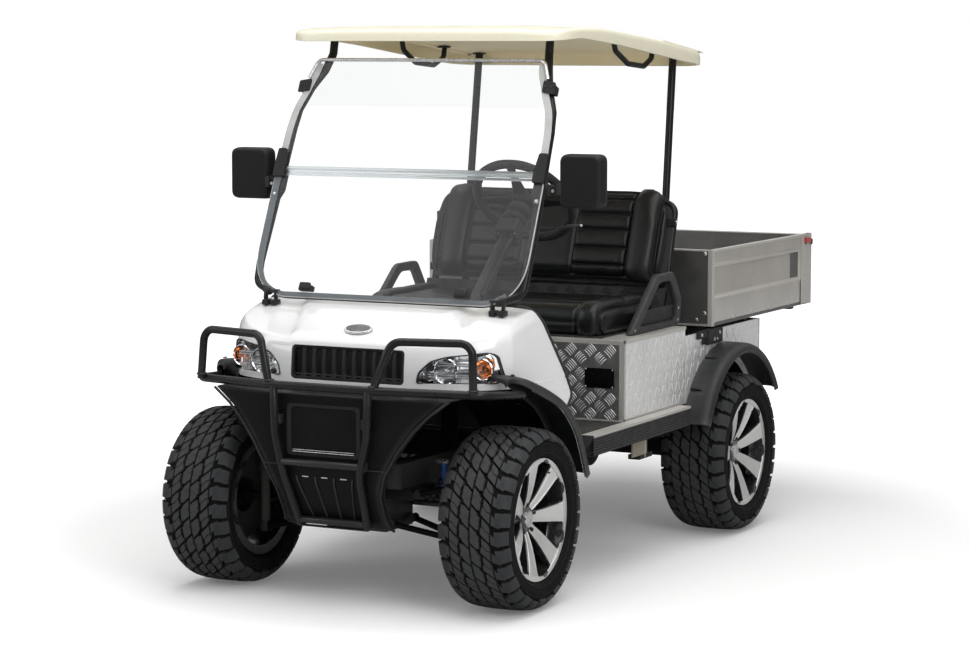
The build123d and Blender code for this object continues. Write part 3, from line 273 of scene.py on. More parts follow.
NODE_FINISH = {
    "frame": STEEL_BLACK, "front_suspension": STEEL_BLACK, "front_shocks": STEEL_BLACK, "rear_axle": CAST,
    "leaf_springs": SPRING_STEEL, "floor": MAT, "sills": BLACK_PLASTIC, "seat_base": CHECKER,
    "battery_pack": BLACK_PLASTIC, "rear_body": WHITE, "front_cowl": WHITE, "headlights": CHROME,
    "grille": BLACK_PLASTIC, "front_panel": BLACK_PLASTIC, "bull_bar": POWDER, "front_flares": FLARE_PLASTIC,
    "rear_flares": FLARE_PLASTIC, "dashboard": BLACK_PLASTIC, "steering_column": BLACK_PLASTIC,
    "pedals": GRIP, "front_pillars": POWDER, "rear_pillars": POWDER, "roof": CREAM, "roof_handles": GRIP,
    "windscreen": SCREEN, "mirrors": BLACK_PLASTIC, "seat_cushion": LEATHER, "seat_back": LEATHER,
    "seat_back_frame": POWDER, "hip_restraints": POWDER, "knuckle_left": CAST, "knuckle_right": CAST,
    "steering_link": SPRING_STEEL, "steering_wheel": GRIP, "cargo_bed": ALLOY_SHEET, "tailgate": ALLOY_SHEET}
for name, obj in NODES.items():
    finish = NODE_FINISH.get(name, RUBBER if name.startswith("tyre") else BLACK_METAL)
    for place in obj.material_slots:
        place.material = finish
# ---------------------------------------------------------------- mesh helpers
END_DOME = 0.18                      # how far a tube's end stands out, as a share of its radius
END_TAPER = 0.9                      # the end face's size against the tube's section


class Piece:
    """Collects solids of one dressed piece, then makes its object."""

    def __init__(self, name, body, *mats):
        self.name, self.body, self.mats = name, body, mats
        self.bm = bmesh.new()

    def take(self, other, matrix=None, mat=None):
        """Add another bmesh's faces."""
        if mat is not None:
            for f in other.faces:
                f.material_index = mat
        if matrix is not None:
            bmesh.ops.transform(other, matrix=matrix, verts=other.verts)
        temp = bpy.data.meshes.new("temp")
        other.to_mesh(temp)
        other.free()
        self.bm.from_mesh(temp)
        bpy.data.meshes.remove(temp)

    def faces(self, verts, faces, mat=0):
        made = [self.bm.verts.new(v) for v in verts]
        for f in faces:
            try:
                self.bm.faces.new([made[i] for i in f]).material_index = mat
            except ValueError:
                pass

    def grid(self, rows, close_u=False, close_v=False, cap=False, mat=0):
        """Skin rows of points; close_u joins last point to first, close_v last row to first."""
        n, m = len(rows), len(rows[0])
        made = [[self.bm.verts.new(p) for p in row] for row in rows]
        for i in range(n if close_v else n - 1):
            a, b = made[i], made[(i + 1) % n]
            for j in range(m if close_u else m - 1):
                k = (j + 1) % m
                pick = mat(i, j) if callable(mat) else mat
                self.bm.faces.new((a[j], a[k], b[k], b[j])).material_index = pick
        if cap:
            for row in (made[0], made[-1]):
                self.bm.faces.new(row).material_index = mat(0, 0) if callable(mat) else mat

    def tube(self, points, radius, bend=0.0, seg=14, closed=False, mat=0, flat=None, step=9.0):
        """A bent round tube, or with flat=(wide, thick) a flat bar; ends are slightly domed."""
        line = rounded(points, bend, closed, step)
        section = [(radius * cos(2 * pi * k / seg), radius * sin(2 * pi * k / seg)) for k in range(seg)]
        if flat:
            section = squircle(flat[0] / 2, flat[1] / 2, seg, min(flat) * 0.3)
        rows = []
        frames = carried(line, closed)
        for point, (side, up_) in zip(line, frames):
            rows.append([point + side * a / 1000 + up_ * b / 1000 for a, b in section])
        if not closed:
            small = min(flat) / 2 if flat else radius
            for at_end in (0, -1):
                tangent = (line[0] - line[1] if at_end == 0 else line[-1] - line[-2]).normalized()
                side, up_ = frames[at_end]
                tip = line[at_end] + tangent * small * END_DOME / 1000
                ring = [tip + (side * a + up_ * b) * END_TAPER / 1000 for a, b in section]
                rows.insert(0, ring) if at_end == 0 else rows.append(ring)
        self.grid(rows, close_u=True, close_v=closed, cap=not closed, mat=mat)

    def lathe(self, profile, centre, axis="X", seg=64, side=1, closed=True, mat=0, phase=0.0):
        """Revolve (radius, along) rows round an axis through a centre."""
        rows = []
        for k in range(seg):
            t = 2 * pi * k / seg + phase
            rows.append([around(centre, axis, side, r, t, u) for r, u in profile])
        self.grid(rows, close_v=True, close_u=closed, mat=mat)

    def box(self, low, high, r=3.0, seg=2, mat=0, turn=None):
        """A rounded block between corners in millimetres; turn=(axis, degrees) about its middle."""
        a, b = P(*low), P(*high)
        size = Vector([abs(b[i] - a[i]) for i in range(3)])
        temp = bmesh.new()
        bmesh.ops.create_cube(temp, size=1.0)
        bmesh.ops.scale(temp, vec=size, verts=temp.verts)
        r = min(r / 1000.0, min(size) * 0.49)
        if r > 0:
            bmesh.ops.bevel(temp, geom=list(temp.edges), offset=r, segments=seg, profile=0.5, affect="EDGES")
        spin = Matrix.Rotation(radians(turn[1]), 4, turn[0]) if turn else Matrix()
        self.take(temp, Matrix.Translation((a + b) / 2) @ spin, mat)

    def prism(self, outline, where, depth, r=0.0, seg=2, mat=0, top_mat=None):
        """An outline of (u, v) millimetres on a 4x4 placement matrix, drawn out along its z by depth."""
        temp = bmesh.new()
        low = [temp.verts.new((u / 1000, v / 1000, 0)) for u, v in outline]
        face = temp.faces.new(low)
        out = bmesh.ops.extrude_face_region(temp, geom=[face])
        top = [g for g in out["geom"] if isinstance(g, bmesh.types.BMVert)]
        bmesh.ops.translate(temp, vec=(0, 0, depth / 1000), verts=top)
        bmesh.ops.recalc_face_normals(temp, faces=temp.faces)
        if r > 0:
            sharp = [e for e in temp.edges if e.calc_face_angle(0) > radians(28)]
            bmesh.ops.bevel(temp, geom=sharp, offset=r / 1000, segments=seg, profile=0.5, affect="EDGES",
                            clamp_overlap=True)
        if top_mat is not None:
            for f in temp.faces:
                f.material_index = top_mat if abs(f.normal.z) > 0.9 else mat
            mat = None
        self.take(temp, where, mat)

    def bolt(self, at, normal, r=6.0, h=4.0, kind="hex", mat=0):
        """A bolt head, or with kind="dome" a round one, on a face with a normal."""
        seg = 6 if kind == "hex" else 12
        rows = []
        shape = [(1.0, 0.0), (1.0, 0.7), (0.86, 1.0)] if kind == "hex" else \
            [(1.0, 0.0), (0.97, 0.4), (0.75, 0.8), (0.35, 1.0)]
        side = normal.orthogonal().normalized()
        up_ = normal.cross(side).normalized()
        for f, g in shape:
            rows.append([at + (side * cos(2 * pi * k / seg) + up_ * sin(2 * pi * k / seg)) * r * f / 1000
                         + normal.normalized() * h * g / 1000 for k in range(seg)])
        self.grid(rows, close_u=True, cap=True, mat=mat)

    def done(self, sharp=32, weighted=True, replaces=(), slot=None, subdiv=0, thick=None, merge=0.00002):
        bm = self.bm
        bmesh.ops.remove_doubles(bm, verts=bm.verts, dist=merge)
        loose = [v for v in bm.verts if not v.link_faces]
        bmesh.ops.delete(bm, geom=loose, context="VERTS")
        bmesh.ops.recalc_face_normals(bm, faces=bm.faces)
        mesh = bpy.data.meshes.new(self.name)
        bm.to_mesh(mesh)
        bm.free()
        for m in self.mats:
            mesh.materials.append(m)
        obj = bpy.data.objects.new(self.name, mesh)
        bpy.context.collection.objects.link(obj)
        if thick:
            m = obj.modifiers.new("thick", "SOLIDIFY")
            m.thickness = thick[0] / 1000
            m.offset = thick[1]
        if subdiv:
            m = obj.modifiers.new("smooth", "SUBSURF")
            m.levels = m.render_levels = subdiv
        if thick or subdiv:
            bake(obj)
        mesh = obj.data
        mesh.shade_smooth()
        mesh.set_sharp_from_angle(angle=radians(sharp))
        if weighted:
            m = obj.modifiers.new("normals", "WEIGHTED_NORMAL")
            m.keep_sharp = True
            m.weight = 80
        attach(obj, self.body)
        if replaces:
            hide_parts(*replaces)
        return obj


def bake(obj):
    """Replace an object's mesh by what its modifiers make of it."""
    deps = bpy.context.evaluated_depsgraph_get()
    deps.update()
    mesh = bpy.data.meshes.new_from_object(obj.evaluated_get(deps), depsgraph=deps)
    obj.modifiers.clear()
    old = obj.data
    obj.data = mesh
    bpy.data.meshes.remove(old)


def rounded(points, bend, closed=False, step=9.0):
    """Points of a polyline with each corner turned into an arc, in metres."""
    pts = [P(*p) for p in points]
    if bend <= 0:
        return pts
    out = []
    n = len(pts)
    for i, here in enumerate(pts):
        if not closed and i in (0, n - 1):
            out.append(here)
            continue
        before, after = pts[i - 1], pts[(i + 1) % n]
        a, b = (before - here), (after - here)
        la, lb = a.length, b.length
        a.normalize()
        b.normalize()
        angle = a.angle(b)
        if angle > radians(178):
            out.append(here)
            continue
        reach = min(bend / 1000 / tan(angle / 2), la * 0.49, lb * 0.49)
        radius = reach * tan(angle / 2)
        centre = here + (a + b).normalized() * (radius / sin(angle / 2))
        start, end = here + a * reach, here + b * reach
        turn = pi - angle
        count = max(2, int(turn / radians(step)))
        u = (start - centre)
        v = (end - centre)
        for k in range(count + 1):
            t = k / count
            w = u * sin((1 - t) * turn) / sin(turn) + v * sin(t * turn) / sin(turn)
            out.append(centre + w)
    return out


def carried(line, closed=False):
    """A side and an up vector at each point that don't twist along the line."""
    frames = []
    n = len(line)
    prev = None
    for i in range(n):
        if closed:
            tangent = (line[(i + 1) % n] - line[i - 1]).normalized()
        else:
            tangent = (line[min(i + 1, n - 1)] - line[max(i - 1, 0)]).normalized()
        if prev is None:
            side = tangent.cross(Vector((0, 0, 1)))
            side = side.normalized() if side.length > 0.05 else tangent.cross(Vector((1, 0, 0))).normalized()
        else:
            side = prev - tangent * prev.dot(tangent)
            side.normalize()
        prev = side
        frames.append((side, tangent.cross(side).normalized()))
    if closed:
        first, last = frames[0][0], frames[-1][0]
        tangent = (line[1] - line[-1]).normalized()
        slip = atan2(last.cross(first).dot(tangent), last.dot(first))
        for i in range(n):
            turn = Matrix.Rotation(slip * i / n, 3, (line[(i + 1) % n] - line[i - 1]).normalized())
            frames[i] = (turn @ frames[i][0], turn @ frames[i][1])
    return frames


def squircle(a, b, seg, r):
    """Points of a rounded rectangle of half sizes a and b."""
    out = []
    per = max(2, seg // 4)
    for quarter, (sx, sy) in enumerate(((1, 1), (-1, 1), (-1, -1), (1, -1))):
        for k in range(per):
            t = quarter * pi / 2 + (pi / 2) * k / (per - 1)
            out.append((sx * (a - r) + r * cos(t), sy * (b - r) + r * sin(t)))
    return out


def around(centre, axis, side, r, t, u):
    """The point at radius r and angle t round an axis through a centre, u along it."""
    x, y, z = centre
    if axis == "X":
        return P(x + side * u, y + r * sin(t), z + r * cos(t))
    if axis == "Y":
        return P(x + r * sin(t), y + side * u, z + r * cos(t))
    return P(x + r * cos(t), y + r * sin(t), z + side * u)


def placed(origin, x_dir, z_dir):
    """A matrix with its origin in millimetres, x and z along given directions."""
    z = Vector(z_dir).normalized()
    x = Vector(x_dir)
    x = (x - z * x.dot(z)).normalized()
    y = z.cross(x)
    m = Matrix((x, y, z)).transposed().to_4x4()
    return Matrix.Translation(P(*origin)) @ m


def spaced(a, b, n):
    return [a + (b - a) * k / (n - 1) for k in range(n)]


# ---------------------------------------------------------------- tyres
TYRE_R = 292.0
PITCHES = 15                         # times the tread's pattern repeats round the tyre
PITCH = 2 * pi * TYRE_R / PITCHES
RIBS = PITCHES * 6                   # short ribs round each side wall
CARCASS = [(0, 280.5), (30, 280.5), (60, 279.5), (84, 277), (100, 271), (110, 262), (116.5, 250),
           (119.5, 236), (119.5, 222), (116, 210), (110, 203), (103, 199), (98, 198)]


def tread_point(s):
    """(along the axle, radius, normal) at an arc length s from the tread's middle, signed."""
    left = abs(s)
    for (w0, r0), (w1, r1) in zip(CARCASS, CARCASS[1:]):
        run = hypot(w1 - w0, r1 - r0)
        if left <= run:
            t = left / run
            nw, nr = -(r1 - r0) / run, (w1 - w0) / run
            return (w0 + (w1 - w0) * t, r0 + (r1 - r0) * t, nw, nr)
        left -= run
    return (*CARCASS[-1], 0.0, 1.0)


# one pitch of the tread before its slant: blocks of (along the tread, across from the middle)
BLOCKS = (
    [(0, 3), (17, 3), (17, 13), (25, 17), (22, 33), (5, 33), (5, 26), (0, 24)],
    [(19, 3), (38, 3), (38, 24), (34, 27), (34, 33), (24, 33), (27, 16), (19, 12)],
    [(0, 38), (9, 38), (9, 43), (21, 43), (18, 56), (21, 68), (0, 68)],
    [(23, 43), (38, 43), (38, 62), (33, 68), (23, 68), (20, 56)],
    [(0, 73), (22, 73), (22, 84), (36, 84), (36, 104), (38, 110), (38, 128), (3, 128), (3, 100), (0, 96)])
BLOCK_STEP = 43.7                    # from a block to its twin in the same pitch
STRETCH = 1.4                        # of the blocks along the tread
SLANT = -0.9                         # along the tread per millimetre across
SHOULDER = 73                        # where the outer blocks start
SLANT_END = 84.0                     # the outer blocks run straight beyond this
BLOCK_HIGH = 11.2
BLOCK_EDGE = 0.9                     # chamfer round a block's top
SIDE_CUTS = (72, 86, 97, 107, 117)   # where a block is divided to follow the shoulder's curve


def half_tread():
    """The blocks of one pitch on one side of the middle; every other outer block is a little shorter."""
    half = []
    for step in (0.0, BLOCK_STEP):
        for rows in BLOCKS:
            short = 5.0 if step and rows[0][1] == SHOULDER else 0.0
            block = []
            for a, s in rows:
                across = s - (short if s > 120 else 0.0)
                along = STRETCH * a - (1.0 if a > 30 else 0.0)
                block.append((STRETCH * step + along + SLANT * min(across, SLANT_END), across))
            half.append(block)
    return half


HALF_TREAD = half_tread()


def one_pitch():
    """Every block of one pitch, as a flat mesh of (along, across, height)."""
    flat = bmesh.new()
    for half in (1, -1):
        shift = 0.0 if half == 1 else PITCH * 0.25
        for outline in HALF_TREAD:
            pts = [(half * a + shift, half * s) for a, s in outline]
            mx = sum(p[0] for p in pts) / len(pts)
            my = sum(p[1] for p in pts) / len(pts)
            size = max(hypot(p[0] - mx, p[1] - my) for p in pts)
            rings = []
            for grow, h in ((1.02, -1.0), (1.0, BLOCK_HIGH - BLOCK_EDGE),
                            (1.0 - BLOCK_EDGE / size, BLOCK_HIGH)):
                rings.append([(mx + (p[0] - mx) * grow, my + (p[1] - my) * grow, h) for p in pts])
            made = [[flat.verts.new(p) for p in ring] for ring in rings]
            n = len(pts)
            for a, b in zip(made, made[1:]):
                for j in range(n):
                    flat.faces.new((a[j], a[(j + 1) % n], b[(j + 1) % n], b[j]))
            flat.faces.new(made[-1])
    bmesh.ops.triangulate(flat, faces=[f for f in flat.faces if len(f.verts) > 4])
    for cut in SIDE_CUTS:
        for half in (1, -1):
            bmesh.ops.bisect_plane(flat, geom=list(flat.verts) + list(flat.edges) + list(flat.faces),
                                   plane_co=(0, half * cut, 0), plane_no=(0, 1, 0))
    verts = [tuple(v.co) for v in flat.verts]
    flat.verts.index_update()
    faces = [[v.index for v in f.verts] for f in flat.faces]
    flat.free()
    return verts, faces


PITCH_VERTS, PITCH_FACES = one_pitch()
# side, distance behind the front axle, half track, turn of the spokes in degrees
WHEELS = {"front_left": (1, 0.0, 512.0, 0.0), "front_right": (-1, 0.0, 512.0, 14.0),
          "rear_left": (1, AXLE_R, 562.0, 20.0), "rear_right": (-1, AXLE_R, 562.0, 35.0)}


def make_tyre(corner):
    side, along, track, _ = WHEELS[corner]
    centre = (side * track, along, TYRE_R)
    # carcass, side walls and rings in the darker rubber, which is painted shade; tread blocks in the tyre's
    # own rubber
    piece = Piece(f"tread_{corner}", f"wheel_{corner}", RUBBER_PAINTED_SHADE, RUBBER)
    half = CARCASS + [(92, 196), (87, 190), (84, 184.5)]
    profile = [(r, w) for w, r in reversed(half)] + [(r, -w) for w, r in half[1:]]
    piece.lathe(profile, centre, seg=84, side=side, closed=True)
    # raised rings on each side wall
    for way in (1, -1):
        for r, w in ((243, 119.0), (214, 117.8)):
            ring = [(r - 2.2, w - 1.5), (r - 1.2, w + 1.6), (r + 1.2, w + 1.6), (r + 2.2, w - 1.5)]
            piece.lathe([(a, way * b) for a, b in ring], centre, seg=84, side=side)
        # short radial ribs under the shoulder lugs
        for k in range(RIBS):
            t = 2 * pi * k / RIBS
            pts = []
            for r, w, wide in ((249, 117.5, 1.6), (249, 120.9, 1.0), (261, 115.2, 1.6), (261, 118.4, 1.0)):
                for way2 in (-1, 1):
                    pts.append(around(centre, "X", side, r, t + way2 * wide / r, way * w))
            piece.faces(pts, [(0, 1, 3, 2), (4, 6, 7, 5), (0, 2, 6, 4), (1, 5, 7, 3), (2, 3, 7, 6)])
    for k in range(PITCHES):
        verts = []
        for a, s, h in PITCH_VERTS:
            w, r, nw, nr = tread_point(s)
            lean = 1 if s >= 0 else -1
            t = (a + k * PITCH) / TYRE_R
            top = r + nr * h
            verts.append(around(centre, "X", side, min(top, TYRE_R - 0.3), t, lean * (w + nw * h)))
        piece.faces(verts, PITCH_FACES, 1)
    return piece.done(sharp=24, weighted=False, replaces=(f"tyre_{corner}",), slot="tyre_rubber")


# ---------------------------------------------------------------- rims
SPOKES = 7
LUG_NUTS = 5
LIP_STEPS = 14                       # points of the machined lip from spoke to spoke
# radius, distance out from the wheel's middle and half width along a spoke
SPOKE_STATIONS = [(40, 58.5, 17.0), (56, 65.5, 18.5), (80, 75.5, 21.5), (110, 85.0, 25.0), (140, 93.0, 28.5),
                  (165, 99.0, 32.0), (176, 102.0, 35.0), (184, 104.5, 39.5)]


def spoke_section(wide, out):
    """(across, out) points round a spoke: its black flanks, and a machined face with two fine grooves."""
    half = [(-wide, out - 26), (-wide - 1.0, out - 3), (-wide + 1.6, out), (-wide + 6.0, out),
            (-wide + 6.9, out - 1.4), (-wide + 7.8, out)]
    return half + [(0, out - 1.2)] + [(-across, depth) for across, depth in reversed(half)]


def make_rim(corner):
    side, along, track, phase = WHEELS[corner]
    centre = (side * track, along, TYRE_R)
    piece = Piece(f"alloy_{corner}", f"wheel_{corner}", BLACK_METAL, MACHINED, BRIGHT, STEEL_BLACK)

    def at(r, t, u):
        return around(centre, "X", side, r, t, u)

    # barrel with its flanges and steps
    barrel = [(166, -104), (186, -105.5), (196, -105.5), (197, -103), (197, -100), (189, -94), (184.5, -84),
              (184.5, -60), (175, -48), (174, 40), (184.5, 62), (184.5, 84), (189, 94), (196.5, 100),
              (197, 103), (195.5, 105.5), (188, 105.6), (184, 102), (182, 90), (178.5, 78), (176, 60),
              (171, 52), (170, 20), (166, 12), (166, -60)]
    piece.lathe(barrel, centre, seg=96, side=side)
    # machined lip: its inner edge steps out in the middle of each window
    turn0 = radians(phase)
    teeth = LIP_STEPS * SPOKES
    rows = []
    for k in range(teeth):
        part = k % LIP_STEPS
        t = pi / 2 - turn0 + 2 * pi * k / teeth
        inner = 190.5 if part in (6, 7, 8) else (183.0 if part in (4, 5, 9, 10) else 179.0)
        high = 104.4 if part == 7 else 105.9
        rows.append([at(inner, t, 101.0), at(inner + 0.8, t, high), at(195.6, t, 106.0), at(196.9, t, 104.2)])
    piece.grid(rows, close_v=True, mat=1)
    # spokes
    for k in range(SPOKES):
        mid = pi / 2 - turn0 + 2 * pi * k / SPOKES
        rows = []
        for r, out, wide in SPOKE_STATIONS:
            rows.append([at(hypot(r, across), mid + atan2(across, r), min(depth, 105.9))
                         for across, depth in spoke_section(wide, out)])
        piece.grid(rows, close_u=True, mat=lambda i, j: 1 if 2 <= j <= 9 else 0)
        piece.faces(rows[0], [tuple(range(len(rows[0])))], 0)
    # hub bowl, lug nuts and cap
    hub = [(8, 20), (62, 22), (64, 40), (58, 50), (44, 52), (38, 60), (28, 61), (8, 60)]
    piece.lathe(hub, centre, seg=48, side=side)
    for k in range(LUG_NUTS):
        t = 2 * pi * k / LUG_NUTS + turn0
        nut = at(47, t, 50)
        piece.bolt(nut, Vector((side, 0, 0)), r=8.5, h=15, kind="hex", mat=0)
        piece.bolt(nut + Vector((side * 0.013, 0, 0)), Vector((side, 0, 0)), r=5.0, h=5, kind="dome", mat=3)
    cap = [(0.5, 54), (27, 55), (27.5, 64), (26.5, 67.2), (24.5, 67.8), (23.5, 66.8), (21.5, 66.8),
           (14, 67.9), (0.5, 68)]
    piece.lathe(cap, centre, seg=40, side=side, mat=2)
    # valve
    piece.bolt(at(160, 0.5, 88), Vector((side, 0, 0)), r=4, h=15, kind="dome", mat=3)
    # brake drum and inner web seen from behind
    drum = [(60, -30), (150, -30), (152, -12), (150, 16), (60, 18)]
    piece.lathe(drum, centre, seg=48, side=side, mat=3)
    return piece.done(sharp=30, replaces=(f"rim_{corner}",), slot="machined_alloy")


for corner in WHEELS:
    make_tyre(corner)
    make_rim(corner)
# ---------------------------------------------------------------- cowl and lamps
def lerp_rows(rows, t):
    """Linear lookup in (key, value) rows."""
    for (a, va), (b, vb) in zip(rows, rows[1:]):
        if t <= b:
            return va + (vb - va) * max(0.0, (t - a) / (b - a))
    return rows[-1][1]


def smooth(a, b, t):
    """0 below a, 1 above b, eased between."""
    t = min(1.0, max(0.0, (t - a) / (b - a)))
    return t * t * (3 - 2 * t)


NOSE = [(0, -152), (215, -152), (300, -137), (380, -112), (440, -84), (480, -52), (520, 8)]   # |x|, front
CROWN = [(-152, 832), (-120, 850), (60, 925), (168, 949), (190, 950)]                        # along, top
COWL_BASE = 702.0


def cowl_at(u, v, w):
    """The cowl's skin: u across -1..1, v front to rear 0..1, w bottom to top 0..1, in millimetres."""
    half = lerp_rows([(0.0, 520), (0.6, 520), (0.86, 517), (1.0, 497)], w)
    half = half * (1.0 - 0.02 * (1 - v))
    x = half * u
    front = lerp_rows(NOSE, abs(u) * 520)
    front += 14.0 * w ** 3
    base_rear = lerp_rows([(0.0, 395), (0.62, 262), (1.0, 188)], w)
    y = front + (base_rear - front) * v
    top = lerp_rows(CROWN, y if w > 0.98 else front + (188 - front) * v)
    top -= 13.0 * abs(u) ** 4
    z = COWL_BASE + (top - COWL_BASE) * w
    return (x, y, z)


def cowl_cage(piece):
    us = [0, .14, .28, .41, .54, .66, .77, .87, .95, 1.0]
    us = [-u for u in reversed(us[1:])] + us
    vs = [0, .05, .14, .28, .42, .56, .7, .84, .95, 1.0]
    ws = [0, .12, .3, .5, .7, .86, .95, 1.0]
    for w0, w1 in zip(ws, ws[1:]):
        for a, b in zip(us, us[1:]):
            piece.faces([P(*cowl_at(a, 0, w0)), P(*cowl_at(b, 0, w0)), P(*cowl_at(b, 0, w1)),
                         P(*cowl_at(a, 0, w1))],
                        [(0, 1, 2, 3)])
        for v0, v1 in zip(vs, vs[1:]):
            for u in (-1, 1):
                piece.faces([P(*cowl_at(u, v0, w0)), P(*cowl_at(u, v1, w0)), P(*cowl_at(u, v1, w1)),
                             P(*cowl_at(u, v0, w1))], [(0, 1, 2, 3)])
    for v0, v1 in zip(vs, vs[1:]):
        for a, b in zip(us, us[1:]):
            piece.faces([P(*cowl_at(a, v0, 1)), P(*cowl_at(b, v0, 1)), P(*cowl_at(b, v1, 1)),
                         P(*cowl_at(a, v1, 1))],
                        [(0, 1, 2, 3)])


SKIRT_LOW = [(62, 702), (122, 664), (230, 590), (290, 537), (352, 547)]


def skirt_at(side, v, f):
    """The cowl's side below its base line, behind the wheel arch: v forward to rear, f down 0..1."""
    rear = lerp_rows([(0.0, 395), (0.42, 441), (1.0, 352)], f)
    low = lerp_rows(SKIRT_LOW, 8 + 344 * v)
    rise = COWL_BASE - f * (COWL_BASE - low)
    return (side * (519 if f < 1 else 518), 8 + (rear - 8) * v, rise)


def cowl_skirt(piece):
    vs = [.14, .28, .42, .56, .7, .84, .95, 1.0]
    fs = [0, .2, .42, .7, .92, 1.0]
    for side in (-1, 1):
        for v0, v1 in zip(vs, vs[1:]):
            for f0, f1 in zip(fs, fs[1:]):
                corners = [skirt_at(side, v0, f0), skirt_at(side, v1, f0), skirt_at(side, v1, f1),
                           skirt_at(side, v0, f1)]
                piece.faces([P(*c) for c in corners], [(0, 1, 2, 3)])


def relief(obj):
    """Raise the bonnet's middle and crease the nose a little."""
    for vert in obj.data.vertices:
        x = abs(vert.co.x * 1000)
        y = vert.co.y * 1000 - AXLE_F
        z = vert.co.z * 1000
        if z > 835:
            edge = 205 + 95 * smooth(-150, 190, y)
            vert.co.z += 0.009 * (1 - smooth(edge, edge + 26, x)) * smooth(838, 856, z)
            vert.co.z -= 0.004 * smooth(edge + 10, edge + 40, x) * (1 - smooth(edge + 60, edge + 120, x))


def hollow(obj, cutters, op="DIFFERENCE"):
    """Boolean a piece with closed cutter objects, which are then removed."""
    for cutter in cutters:
        m = obj.modifiers.new("cut", "BOOLEAN")
        m.operation = op
        m.solver = "EXACT"
        m.object = cutter
    bake(obj)
    for cutter in cutters:
        mesh = cutter.data
        bpy.data.objects.remove(cutter)
        bpy.data.meshes.remove(mesh)


def cutter(outline, where, depth, name="cutter"):
    """A closed form to cut with, drawn out from an outline."""
    piece = Piece(name, "chassis", BLACK_PLASTIC)
    piece.prism(outline, where, depth)
    bmesh.ops.recalc_face_normals(piece.bm, faces=piece.bm.faces)
    mesh = bpy.data.meshes.new(name)
    piece.bm.to_mesh(mesh)
    piece.bm.free()
    obj = bpy.data.objects.new(name, mesh)
    bpy.context.collection.objects.link(obj)
    return obj


def soften(outline, r, n=5):
    """A closed 2-D outline with its corners rounded."""
    out = []
    count = len(outline)
    for i in range(count):
        here = Vector(outline[i])
        before, after = Vector(outline[i - 1]), Vector(outline[(i + 1) % count])
        a, b = before - here, after - here
        reach = min(r, a.length * 0.45, b.length * 0.45)
        start, end = here + a.normalized() * reach, here + b.normalized() * reach
        for k in range(n + 1):
            t = k / n
            p = start * (1 - t) ** 2 + here * 2 * t * (1 - t) + end * t ** 2
            out.append((p.x, p.y))
    return out


LAMP = [(250, 722), (258, 758), (296, 794), (345, 808), (462, 822), (484, 812), (500, 738), (488, 724)]
GRILLE = (208.0, 714.0, 824.0)


def from_front(shape, side=1, grow=0.0):
    """An outline seen from the front as a placement's (u, v), with v up and u along +X."""
    mx = sum(p[0] for p in shape) / len(shape)
    mz = sum(p[1] for p in shape) / len(shape)
    out = []
    for x, z in shape:
        d = hypot(x - mx, z - mz)
        k = (d + grow) / d
        out.append((side * (mx + (x - mx) * k), mz + (z - mz) * k))
    return out if side == 1 else list(reversed(out))


# outlines seen from the front are drawn in (x, height) and reach back into the cart
SWAP_YZ = Matrix(((1, 0, 0, 0), (0, 0, 1, 0), (0, 1, 0, 0), (0, 0, 0, 1)))
FRONT_VIEW = Matrix.Translation(P(0, -230, 0)) @ SWAP_YZ

cowl = Piece("cowl", "chassis", WHITE)
cowl_cage(cowl)
cowl_skirt(cowl)
cowl = cowl.done(sharp=60, weighted=False, replaces=("front_cowl",), slot="white_body", subdiv=2)
relief(cowl)
skin = cowl.data.copy()
m = cowl.modifiers.new("wall", "SOLIDIFY")
m.thickness = 0.005
m.offset = -1.0
bake(cowl)
cuts = [cutter(soften(from_front([(-GRILLE[0], GRILLE[1]), (GRILLE[0], GRILLE[1]), (GRILLE[0], GRILLE[2]),
                                  (-GRILLE[0], GRILLE[2])]), 16), FRONT_VIEW, 130)]
for side in (1, -1):
    cuts.append(cutter(soften(from_front(LAMP, side), 12), FRONT_VIEW, 330))
hollow(cowl, cuts)
cowl.data.shade_smooth()
cowl.data.set_sharp_from_angle(angle=radians(42))
m = cowl.modifiers.new("normals", "WEIGHTED_NORMAL")
m.keep_sharp = True

seal = Piece("cowl_edge_seal", "chassis", RUBBER)
for side in (-1, 1):
    line = [skirt_at(side, 1, f) for f in (0.97, 0.7, 0.42, 0.2)]
    line += [cowl_at(side, 1, w) for w in (0.0, 0.3, 0.5, 0.7, 0.84, 0.93)]
    line += [(side * 478, 190, 944), (side * 440, 188, 947)]
    line = [(x + side * 0.5, y + 2.5, z + 1) for x, y, z in line]
    seal.tube(line, 5.5, bend=40, seg=10, flat=(6, 11))
seal.done(slot="white_body")

# lenses follow the cowl's skin inside each lamp opening
for side, word in ((1, "left"), (-1, "right")):
    lens = bpy.data.objects.new(f"lamp_lens_{word}", skin.copy())
    bpy.context.collection.objects.link(lens)
    lens.data.materials.clear()
    lens.data.materials.append(LENS)
    m = lens.modifiers.new("wall", "SOLIDIFY")
    m.thickness = 0.0028
    m.offset = -1.0
    bake(lens)
    hollow(lens, [cutter(soften(from_front(LAMP, side, -2.4), 12), FRONT_VIEW, 330)], op="INTERSECT")
    lens.data.shade_smooth()
    lens.data.set_sharp_from_angle(angle=radians(42))
    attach(lens, "chassis")
bpy.data.meshes.remove(skin)


def on_cowl(x, z):
    """How far forward the cowl's face is at a place seen from the front."""
    u = x / 520.0
    w = min(1.0, max(0.0, (z - COWL_BASE) / (832 - COWL_BASE)))
    return cowl_at(u, 0.0, w * 0.98)[1]


